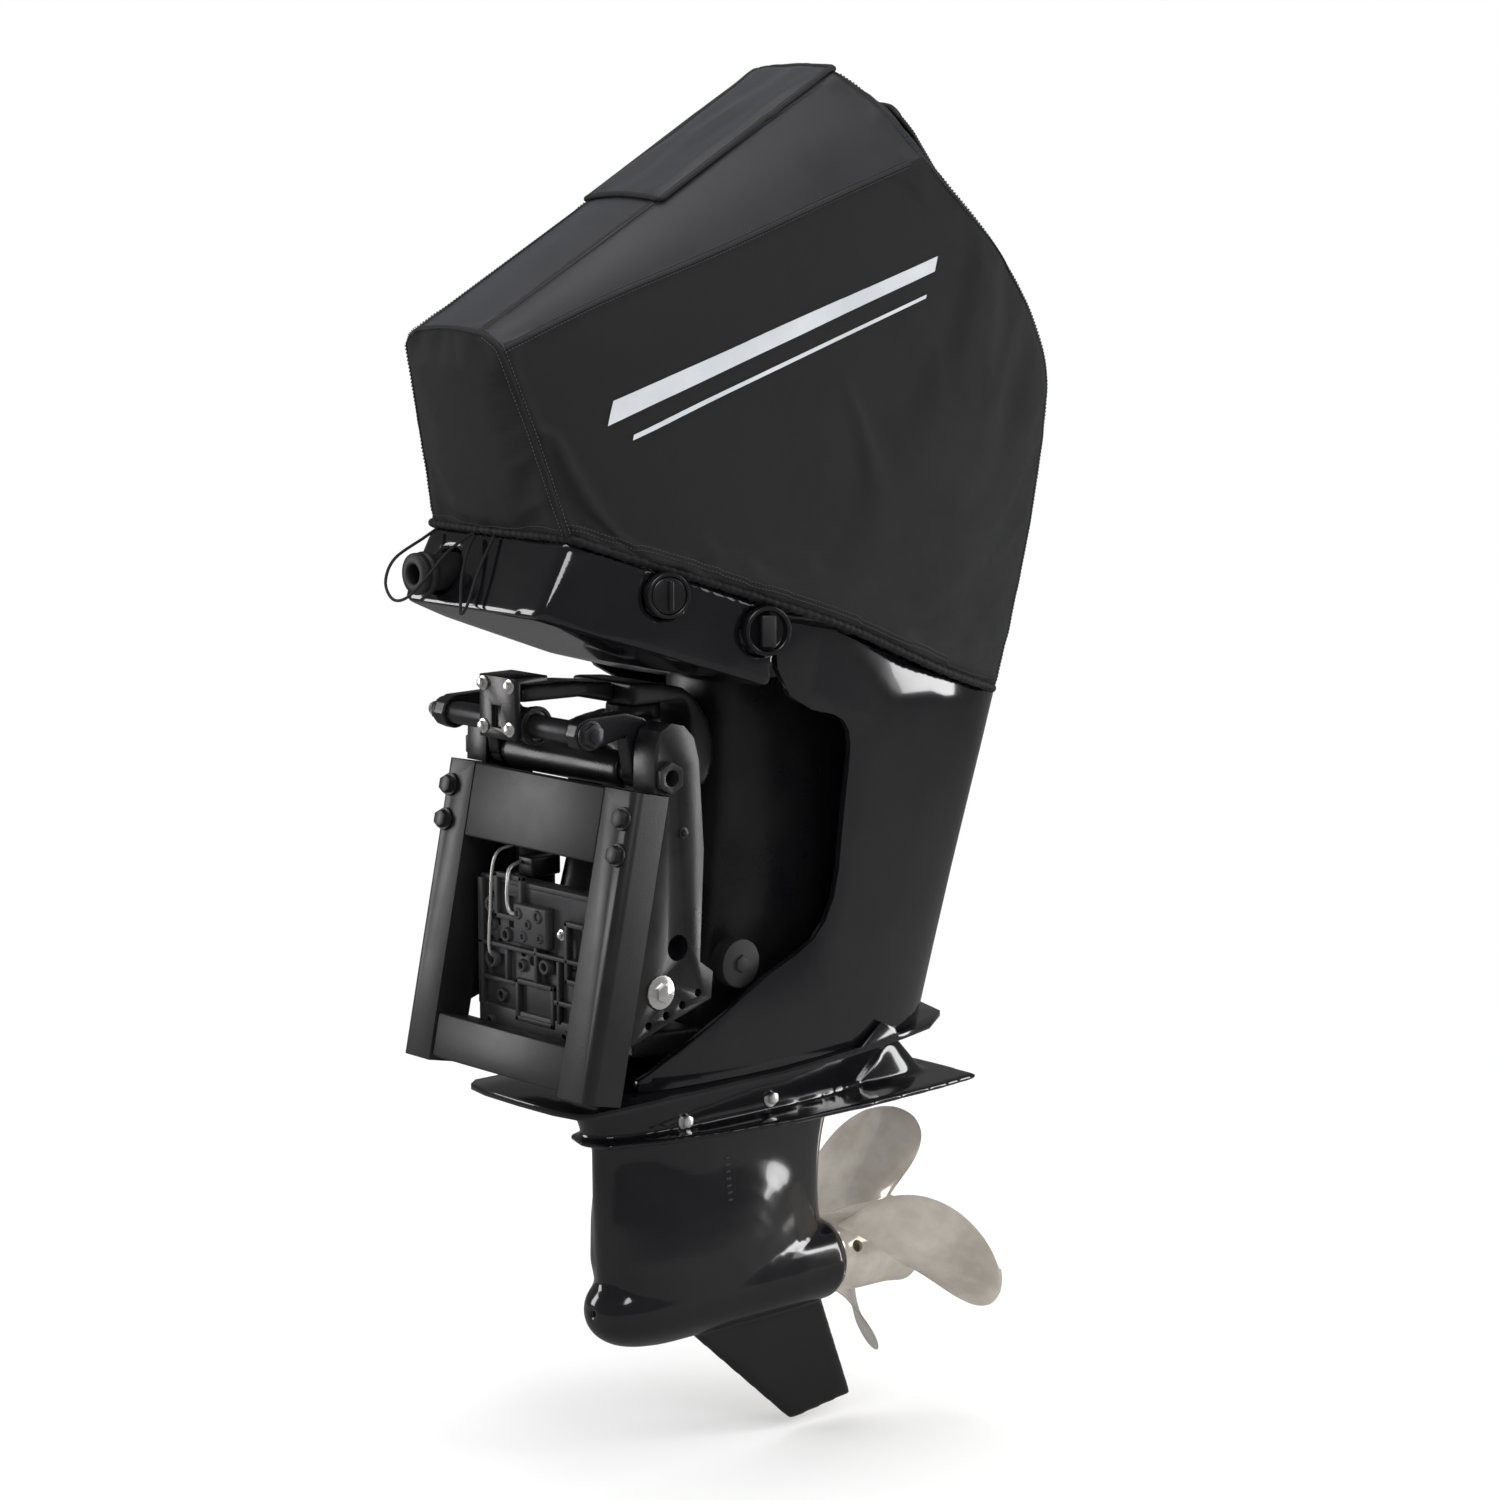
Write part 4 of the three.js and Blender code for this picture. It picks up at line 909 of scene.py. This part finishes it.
def stitches(name, frames, offset, pitch=0.005, length=0.0035, radius=0.0007, lift=0.0009):
    """A row of thread stitches beside a seam, each a short six-sided bead."""
    spots = [spot + side * offset + normal * lift for spot, normal, side in frames]
    row = line_through(np.array([tuple(s) for s in spots]), max(4, int(len(spots) * 6)))
    steps = np.linalg.norm(np.diff(row, axis=0), axis=1)
    along = np.concatenate([[0], np.cumsum(steps)])
    vertices = []
    faces = []
    for centre in np.arange(pitch, along[-1] - pitch, pitch):
        ends = [
            np.array([np.interp(centre + shift * length / 2, along, row[:, axis]) for axis in range(3)])
            for shift in (-1, 1)
        ]
        direction = Vector(ends[1] - ends[0]).normalized()
        one = direction.orthogonal().normalized()
        two = direction.cross(one)
        start = len(vertices)
        vertices.append(Vector(ends[0]))
        for place_along in (0.25, 0.75):
            middle = Vector(ends[0] * (1 - place_along) + ends[1] * place_along)
            for k in range(4):
                angle = math.pi * k / 2
                vertices.append(middle + (one * math.cos(angle) + two * math.sin(angle)) * radius)
        vertices.append(Vector(ends[1]))
        for k in range(4):
            n = (k + 1) % 4
            faces.append((start, start + 1 + n, start + 1 + k))
            faces.append((start + 1 + k, start + 1 + n, start + 5 + n, start + 5 + k))
            faces.append((start + 5 + k, start + 5 + n, start + 9))
    return new_piece(name, vertices, faces)


bands = []
threads = []
SEWN = {
    "shoulder": SHOULDER, "front": front_up, "rear": rear_up, "top": TOP_EDGE,
}
for seam_name, curve in SEWN.items():
    for side_name, side_curve in (("port", curve), ("starboard", mirrored(curve))):
        dense = line_through(side_curve[::4] if len(side_curve) > 40 else side_curve, 160)
        band, frames = seam_band(f"seam_{seam_name}_{side_name}", dense)
        bands.append(band)
        threads.append(stitches(f"stitch_a_{seam_name}_{side_name}", frames, 0.0052))
        threads.append(stitches(f"stitch_b_{seam_name}_{side_name}", frames, -0.0052))
for seam_name, curve in (("arch", FRONT_ARCH), ("apex", APEX)):
    band, frames = seam_band(f"seam_{seam_name}", line_through(curve, 30))
    bands.append(band)
place(joined("cover_seams", bands), BODY_OF["cover"], WEBBING)
hem_loop = np.vstack([front_hem[:-1], HEM_SIDE[:-1], rear_hem[:-1], mirrored(HEM_SIDE)[::-1][:-1]])
hem_path = line_through(np.vstack([hem_loop[::3], hem_loop[:1]]), 700)[:-1]
gather = np.random.default_rng(4)
wobble = gather.random(24)
turns = np.linspace(0, 2 * np.pi, len(hem_path), endpoint=False)
gathers = 0.0007 * np.sin(190 * turns + 3 * np.sin(9 * turns))
hem_radii = 0.0055 + gathers + 0.0004 * np.sin(71 * turns + wobble[0])
hem = tube("cover_hem", hem_path, 0.0055, sides=12, closed=True, radii=hem_radii)
place(hem, BODY_OF["cover"], SIDE_CLOTH_WITH_PAINTED_SHADE)
hem_row = line_through(np.vstack([hem_loop[::3], hem_loop[:1]]) + np.array([0, 0, 0.013]), 400)
hem_frames = []
for point in hem_row:
    spot, normal = on_cover(point, 0)
    hem_frames.append((spot, normal, Vector((0, 0, 1))))
threads.append(stitches("stitch_hem_a", hem_frames, 0.0))
threads.append(stitches("stitch_hem_b", hem_frames, 0.006))
thread_piece = place(joined("cover_stitching", threads), BODY_OF["cover"], THREAD_WITH_PAINTED_HIGHLIGHT)
print("stitching", len(thread_piece.data.polygons), "faces")

# %% [markdown]
# ## Flaps and the side stripe
# Two flaps close the cover's vents. The top one lies along the sloping top panel and ends in a lip just
# past the peak, and the rear one hangs down the back. Each is a sheet laid on the cover and puckered a
# little, with a thick piped edge. A plain two-line stripe is printed on each side.

# %% Flaps
def laid_sheet(name, grid, lift, pucker, thickness):
    """A sheet that lies on the cover at a grid of points, puckered by a slow noise."""
    rows, columns = grid.shape[:2]
    vertices = []
    for i in range(rows):
        for j in range(columns):
            spot, normal = on_cover(grid[i, j], 0)
            edge = min(i, rows - 1 - i, 4) / 4 * min(j, columns - 1 - j, 4) / 4
            ripple = noise.noise(Vector((spot.x * 26, spot.y * 9, spot.z * 9)))
            vertices.append(spot + normal * (lift + pucker * edge * (0.5 + ripple)))
    faces = []
    uvs = []
    width = np.linalg.norm(grid[0, -1] - grid[0, 0])
    length = np.linalg.norm(grid[-1, 0] - grid[0, 0])
    for i in range(rows - 1):
        for j in range(columns - 1):
            corners = ((i, j), (i, j + 1), (i + 1, j + 1), (i + 1, j))
            faces.append(tuple(r * columns + c for r, c in corners))
            uvs.extend((c / (columns - 1) * width, r / (rows - 1) * length) for r, c in corners)
    piece = new_piece(name, vertices, faces)
    layer = piece.data.uv_layers.new(name="UVMap")
    layer.data.foreach_set("uv", np.array(uvs, dtype=float).ravel())
    if thickness > 0:
        wall = piece.modifiers.new("thickness", "SOLIDIFY")
        wall.thickness = thickness
        wall.offset = -1
        apply_modifiers(piece)
    soften(piece)
    return piece, np.array([tuple(v) for v in vertices]).reshape(rows, columns, 3)


def between(first, last, count):
    return np.linspace(0, 1, count)[:, None] * (np.array(last) - np.array(first)) + np.array(first)


def piping(name, path, radius, ribs):
    """A piped edge with the fine ribs of a covered zip."""
    dense = line_through(path[::2], ribs)
    radii = radius * (1 + 0.16 * np.cos(np.pi * np.arange(ribs)))
    return tube(name, dense, radius, sides=8, radii=radii)


TOP_FLAP_FRONT, TOP_FLAP_HALF, REAR_FLAP_HALF = 152, 72, 120
front_z = float(np.interp(TOP_FLAP_FRONT * MM, TOP_EDGE[:, 1], TOP_EDGE[:, 2]))
across = np.linspace(-TOP_FLAP_HALF, TOP_FLAP_HALF, 32) * MM
down_top = between((0, TOP_FLAP_FRONT * MM, front_z), (0, 0.456, 0.931), 64)
top_grid = down_top[:, None, :] + across[None, :, None] * np.array([1.0, 0, 0])
top_flap, top_points = laid_sheet("top_flap", top_grid, 0.004, 0.006, 0.0018)
place(top_flap, BODY_OF["cover"], TOP_CLOTH_WITH_PAINTED_LIGHT)
down_rear = between((0, 0.545, 0.878), (0, 0.705, 0.655), 44)
across_rear = np.linspace(-REAR_FLAP_HALF, REAR_FLAP_HALF, 40) * MM
rear_grid = down_rear[:, None, :] + across_rear[None, :, None] * np.array([1.0, 0, 0])
rear_flap, rear_points = laid_sheet("rear_flap", rear_grid, 0.0045, 0.004, 0.0018)
place(rear_flap, BODY_OF["cover"], SIDE_CLOTH_WITH_PAINTED_SHADE)
edges = []
for label, points in (("top", top_points), ("rear", rear_points)):
    loop = np.vstack([points[::-1, 0], points[0], points[1:, -1]])
    edges.append(piping(f"piping_{label}", loop, 0.0038, 520 if label == "top" else 360))
edges.append(piping("piping_lip", top_points[-1], 0.0045, 90))
edges.append(piping("piping_foot", rear_points[-1], 0.0032, 120))
place(joined("flap_piping", edges), BODY_OF["cover"], WEBBING)
print("flaps", len(top_flap.data.polygons), len(rear_flap.data.polygons))

# %% Side stripe
STRIPE_INK = finish("stripe_ink", (0.42, 0.44, 0.46), (0.5, 0.52, 0.54), (0.5, 0.62), grain=900, bump=0.25)
stripes = []
for side_sign in (1, -1):
    for y0, z0, y1, z1, tall0, tall1 in ((-10, 512, 520, 676, 30, 20), (20, 482, 500, 634, 7, 5)):
        path = between((0.23 * side_sign, y0 * MM, z0 * MM), (0.2 * side_sign, y1 * MM, z1 * MM), 70)
        heights = np.linspace(-0.5, 0.5, 6)[None, :] * np.linspace(tall0, tall1, 70)[:, None] * MM
        slant = np.array([0, 0.35, 1.0])
        grid = path[:, None, :] + heights[:, :, None] * slant
        stripe, _ = laid_sheet("stripe", grid, 0.0007, 0, 0)
        stripes.append(stripe)
place(joined("side_stripe", stripes), BODY_OF["cover"], STRIPE_INK)

# %% [markdown]
# ## Bolts and slots
# Small bright fasteners tell the eye how big the motor is. Each bolt is a six-sided head with a chamfer,
# a round washer under it and a shallow turned cup on top.

# %% Bolts and small fittings
def bolt(name, seat, axis, head, body, slot="steel", washer=1.45):
    """A hex-headed bolt with its washer, standing on a point in millimetres and facing along an axis."""
    seat = Vector(seat)
    axis = Vector(axis).normalized()
    parts = [
        bar("washer", seat, seat + axis * 2, head * washer, 40, 0.5),
        bar("head", seat + axis * 2, seat + axis * (2 + head * 0.8), head, 6, 0.7),
        bar("boss", seat + axis * (2 + head * 0.7), seat + axis * (2.6 + head * 0.8), head * 0.72, 32, 0.4),
    ]
    piece = joined(name, parts)
    smooth(piece, 40)
    return place(piece, body, FINISH[slot])


plate_low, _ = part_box("steering_link_plate")
plate_face = plate_low[1] / MM
slider = BODY_OF["steering_link_plate"]
for number, (x, z) in enumerate(((-24, 155), (29, 155), (-24, 100), (29, 100))):
    bolt(f"link_bolt_{number + 1}", (x, plate_face, z), (0, -1, 0), 6.5, slider)
GEARCASE_SKIN = bpy.data.objects["gearcase_finished"]


def on_gearcase(sign, y, z):
    """The point on the gearcase's skin straight in from one side, in millimetres."""
    found, spot, _, _ = GEARCASE_SKIN.ray_cast(Vector((sign * 0.4, y * MM, z * MM)), Vector((-sign, 0, 0)))
    return spot / MM if found else Vector((sign * 40, y, z))


for sign, side in ((1, "port"), (-1, "starboard")):
    engine = BODY_OF["gearcase"]
    for number, (y, z) in enumerate(((209, -450), (358, -443))):
        seat = on_gearcase(sign, y, z) - Vector((sign * 0.8, 0, 0))
        bolt(f"case_bolt_{side}_{number + 1}", seat, (sign, 0, 0), 8.5, engine)
    carrier = BODY_OF["clamp_bracket_port"]
    bolt(f"bracket_screw_{side}", (sign * 190, 86, -28), (sign, 0, 0), 5, carrier, "satin")
    slots = []
    for row in range(7):
        z = -574 + 9.5 * row
        inward = Vector((sign * 1.2, 0, 0))
        start, end = on_gearcase(sign, 286, z) - inward, on_gearcase(sign, 295, z) - inward
        slots.append(bar("slot", start, end, 2.4, 16, 0.8))
    place(joined(f"inlet_louvres_{side}", slots), engine, FINISH["rubber"])
print("fittings placed")

# %% [markdown]
# ## The trim unit's front
# Behind the carrier's window sits the iron casting of the trim unit. It is cast with ribs round shallow
# pockets, to be stiff and light, and carries round bosses for its valves. Its ribs are bevelled bars set
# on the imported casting's face, and each boss is a turned ring, so every valve hole has a real depth.

# %% Trim unit ribs and bosses
def block(name, x0, x1, y0, y1, z0, z1, bevel=1.5):
    """A bevelled bar between six planes in millimetres."""
    bpy.ops.object.select_all(action="DESELECT")
    middle = Vector((x0 + x1, y0 + y1, z0 + z1)) * 0.5 * MM
    sides = ((x1 - x0) * MM, (y1 - y0) * MM, (z1 - z0) * MM)
    bpy.ops.mesh.primitive_cube_add(size=1, location=middle, scale=sides)
    piece = bpy.context.active_object
    piece.name = name
    bpy.ops.object.transform_apply(location=True, rotation=True, scale=True)
    edge = piece.modifiers.new("edge", "BEVEL")
    edge.width = bevel * MM
    edge.segments = 3
    apply_modifiers(piece)
    return piece


def pocket_frame(x0, x1, z0, z1, wall=7):
    """Four ribs round a pocket."""
    return [
        (x0 - wall, x0, z0 - wall, z1 + wall), (x1, x1 + wall, z0 - wall, z1 + wall),
        (x0 - wall, x1 + wall, z0 - wall, z0), (x0 - wall, x1 + wall, z1, z1 + wall),
    ]


def ring_boss(x, z, outer, inner, proud, base=3.2):
    """A turned ring on the casting's face, standing proud towards the front."""
    return lathe("boss", [
        (inner, -1), (outer + 1.5, -1), (outer + 0.6, 1), (outer, proud - 1), (outer - 1, proud),
        (inner + 1, proud), (inner, proud - 1)], (x, base, z), (0, -1, 0), 32)


RIBS = pocket_frame(-74, -31, -158, -111) + pocket_frame(69, 99, -224, -156)
RIBS += pocket_frame(-32, 33, -288, -246)
RIBS += [
    (-116, -106, -284, -116), (-116, 120, -204, -198), (40, 120, -262, -255), (-106, -39, -250, -244),
    (46, 52, -286, -204), (-60, -54, -244, -204), (112, 120, -284, -150), (0, 6, -240, -192),
]
trim_front = [block("rib", x0, x1, -5, 4, z0, z1) for x0, x1, z0, z1 in RIBS]
trim_front.append(block("apron", -118, 121, -3, 12, -332, -282, 3))
trim_front.append(block("valve_block", -36, 34, -10, 4, -192, -138, 4))
trim_front.append(block("shelf", -118, 121, 2, 30, -120, -112, 2))
for x, z, outer, inner, proud in (
    (-92, -150, 11, 6, 7), (-92, -176, 8, 4, 6), (-62, -186, 9, 5, 6), (-92, -222, 12, 7, 7),
    (85, -243, 8, 4, 6), (-72, -268, 9, 5, 6), (66, -300, 8, 4, 12), (-90, -304, 8, 4, 12),
    (20, -216, 10, 5, 8), (-30, -222, 8, 4, 6),
):
    trim_front.append(ring_boss(x, z, outer, inner, proud))
for x, z, outer, inner in (
    (-24, -151, 7, 3.5), (-4, -163, 6, 3), (16, -150, 8, 4.5), (-14, -180, 7, 3.5), (20, -178, 6, 3),
):
    trim_front.append(ring_boss(x, z, outer, inner, 3, base=-9.5))
trim_piece = joined("trim_unit_front", trim_front)
smooth(trim_piece, 40)
place(trim_piece, BODY_OF["trim_manifold"], FINISH["iron"])
necks = [
    bar("neck", (84, 62, -112), (84, 62, -70), 25, 48, 3),
    bar("neck", (84, 62, -112), (84, 62, -100), 28, 48, 1),
    bar("neck", (-84, 62, -112), (-84, 62, -74), 22, 48, 6),
    block("cable_cover", -64, -34, 22, 70, -110, -84, 3),
]
neck_piece = joined("trim_unit_necks", necks)
smooth(neck_piece, 40)
place(neck_piece, BODY_OF["trim_manifold"], FINISH["casting"])
pipes = [
    tube("pipe", line_through(np.array([(-86, 34, -74), (-87, 8, -80), (-88, -2, -104), (-89, -5, -160),
                                        (-91, -6, -206), (-92, 2, -220)]) * MM, 60), 0.0022, sides=12),
    tube("pipe", line_through(np.array([(-60, 30, -90), (-52, 0, -96), (-47, -9, -112), (-44, -12, -140),
                                        (-38, -11, -152), (-30, -8, -152)]) * MM, 60), 0.0026, sides=12),
]
place(joined("trim_unit_pipes", pipes), BODY_OF["trim_manifold"], FINISH["steel"])
bolt("valve_bolt", (56, -2, -168), (0, -1, 0), 5, BODY_OF["trim_manifold"])
print("trim unit", len(trim_piece.data.polygons), "faces")

# %% Steering cylinder rings and rod tip
barrel_y, barrel_z, barrel_r = -30, 103, 22
rings = []
for x, wide, proud in ((-41, 5, 3), (-32, 3, 2), (38, 6, 3.5), (30, 3, 2)):
    rings.append(lathe("ring", [
        (barrel_r - 1, 0), (barrel_r + proud - 1, 0), (barrel_r + proud, 1), (barrel_r + proud, wide - 1),
        (barrel_r + proud - 1, wide), (barrel_r - 1, wide)], (x, barrel_y, barrel_z), (1, 0, 0), 48))
ring_piece = joined("cylinder_rings", rings)
smooth(ring_piece, 35)
place(ring_piece, BODY_OF["steering_cylinder"], FINISH["casting"])
tip_profile = [(0, 0)] + [(9.4 if k % 2 else 8.6, 1 + 0.75 * k) for k in range(16)] + [(7.5, 14), (0, 14)]
tip = lathe("rod_tip_starboard", tip_profile, (-158, barrel_y, barrel_z), (-1, 0, 0), 32)
smooth(tip, 60)
place(tip, BODY_OF["steering_rod"], FINISH["steel"])
print("rings", len(ring_piece.data.polygons))

# %% [markdown]
# ## Studio
# Gloss black shows what it reflects. Two tall soft boxes, one aft and one forward to starboard, draw long
# soft lines down the fairings and the pan, a high one to port lights the gearcase's flank, and a wide one
# overhead lights the cover's top. The surroundings
# are bright to the camera and dim in reflections, as a white room with black flags beside the motor is.

# %% Lights and floor
def soft_box(name, place_at, look_at, width, height, power):
    """A rectangular area light that faces a point."""
    data = bpy.data.lights.new(name, "AREA")
    data.shape = "RECTANGLE"
    data.size = width
    data.size_y = height
    data.energy = power
    light = bpy.data.objects.new(name, data)
    light.location = place_at
    light.rotation_euler = (Vector(look_at) - Vector(place_at)).to_track_quat("-Z", "Y").to_euler()
    bpy.context.collection.objects.link(light)
    return light


soft_box("aft_box", (2.6, 4.2, 0.2), (0, 0.5, -0.1), 0.9, 3.0, 75)
soft_box("low_side_box", (3.6, 3.2, 1.75), (0.1, 0.3, -0.6), 2.6, 1.1, 20)
soft_box("forward_box", (-3.2, -2.6, 0.6), (0, 0.2, 0.2), 1.2, 2.4, 60)
soft_box("overhead_box", (0.2, 0.0, 3.8), (0, 0.3, 0.6), 3.0, 2.4, 80)
soft_box("camera_fill", (4.6, -1.6, 2.6), (0, 0.2, 0.1), 1.4, 1.4, 45)

MIRRORED_ROOM = 0.13
world = bpy.data.worlds.new("studio")
bpy.context.scene.world = world
world.use_nodes = True
world_nodes = world.node_tree.nodes
background = world_nodes["Background"]
background.inputs["Color"].default_value = (1, 1, 1, 1)
rays = world_nodes.new("ShaderNodeLightPath")
dim = world_nodes.new("ShaderNodeMapRange")
dim.inputs["To Min"].default_value = 1.0
dim.inputs["To Max"].default_value = MIRRORED_ROOM
world.node_tree.links.new(rays.outputs["Is Glossy Ray"], dim.inputs["Value"])
world.node_tree.links.new(dim.outputs["Result"], background.inputs["Strength"])

FLOOR_Z = CAD_BOX[0][2] - 0.012
bpy.ops.object.select_all(action="DESELECT")
bpy.ops.mesh.primitive_circle_add(vertices=128, radius=3.4, fill_type="NGON", location=(0, 0.3, FLOOR_Z))
floor = bpy.context.active_object
floor.name = "floor"
floor_material = bpy.data.materials.new("pale_floor")
floor_material.use_nodes = True
floor_nodes = floor_material.node_tree.nodes
floor_shader = floor_nodes["Principled BSDF"]
floor_shader.inputs["Roughness"].default_value = 0.9
floor_where = floor_nodes.new("ShaderNodeTexCoord")
distance = floor_nodes.new("ShaderNodeVectorMath")
distance.operation = "LENGTH"
fade = floor_nodes.new("ShaderNodeMapRange")
fade.interpolation_type = "SMOOTHSTEP"
fade.inputs["From Min"].default_value = 1.4
fade.inputs["From Max"].default_value = 3.3
fade.inputs["To Min"].default_value = 1.0
fade.inputs["To Max"].default_value = 0.0
floor_material.node_tree.links.new(floor_where.outputs["Object"], distance.inputs[0])
floor_material.node_tree.links.new(distance.outputs["Value"], fade.inputs["Value"])
floor_material.node_tree.links.new(fade.outputs["Result"], floor_shader.inputs["Alpha"])
flag = floor_nodes.new("ShaderNodeLightPath")
floor_tint = floor_nodes.new("ShaderNodeMix")
floor_tint.data_type = "RGBA"
floor_tint.inputs["A"].default_value = (0.88, 0.88, 0.88, 1)
floor_tint.inputs["B"].default_value = (0.16, 0.16, 0.16, 1)
floor_material.node_tree.links.new(flag.outputs["Is Glossy Ray"], floor_tint.inputs["Factor"])
floor_material.node_tree.links.new(floor_tint.outputs["Result"], floor_shader.inputs["Base Color"])
floor.data.materials.append(floor_material)

# %% End
import json
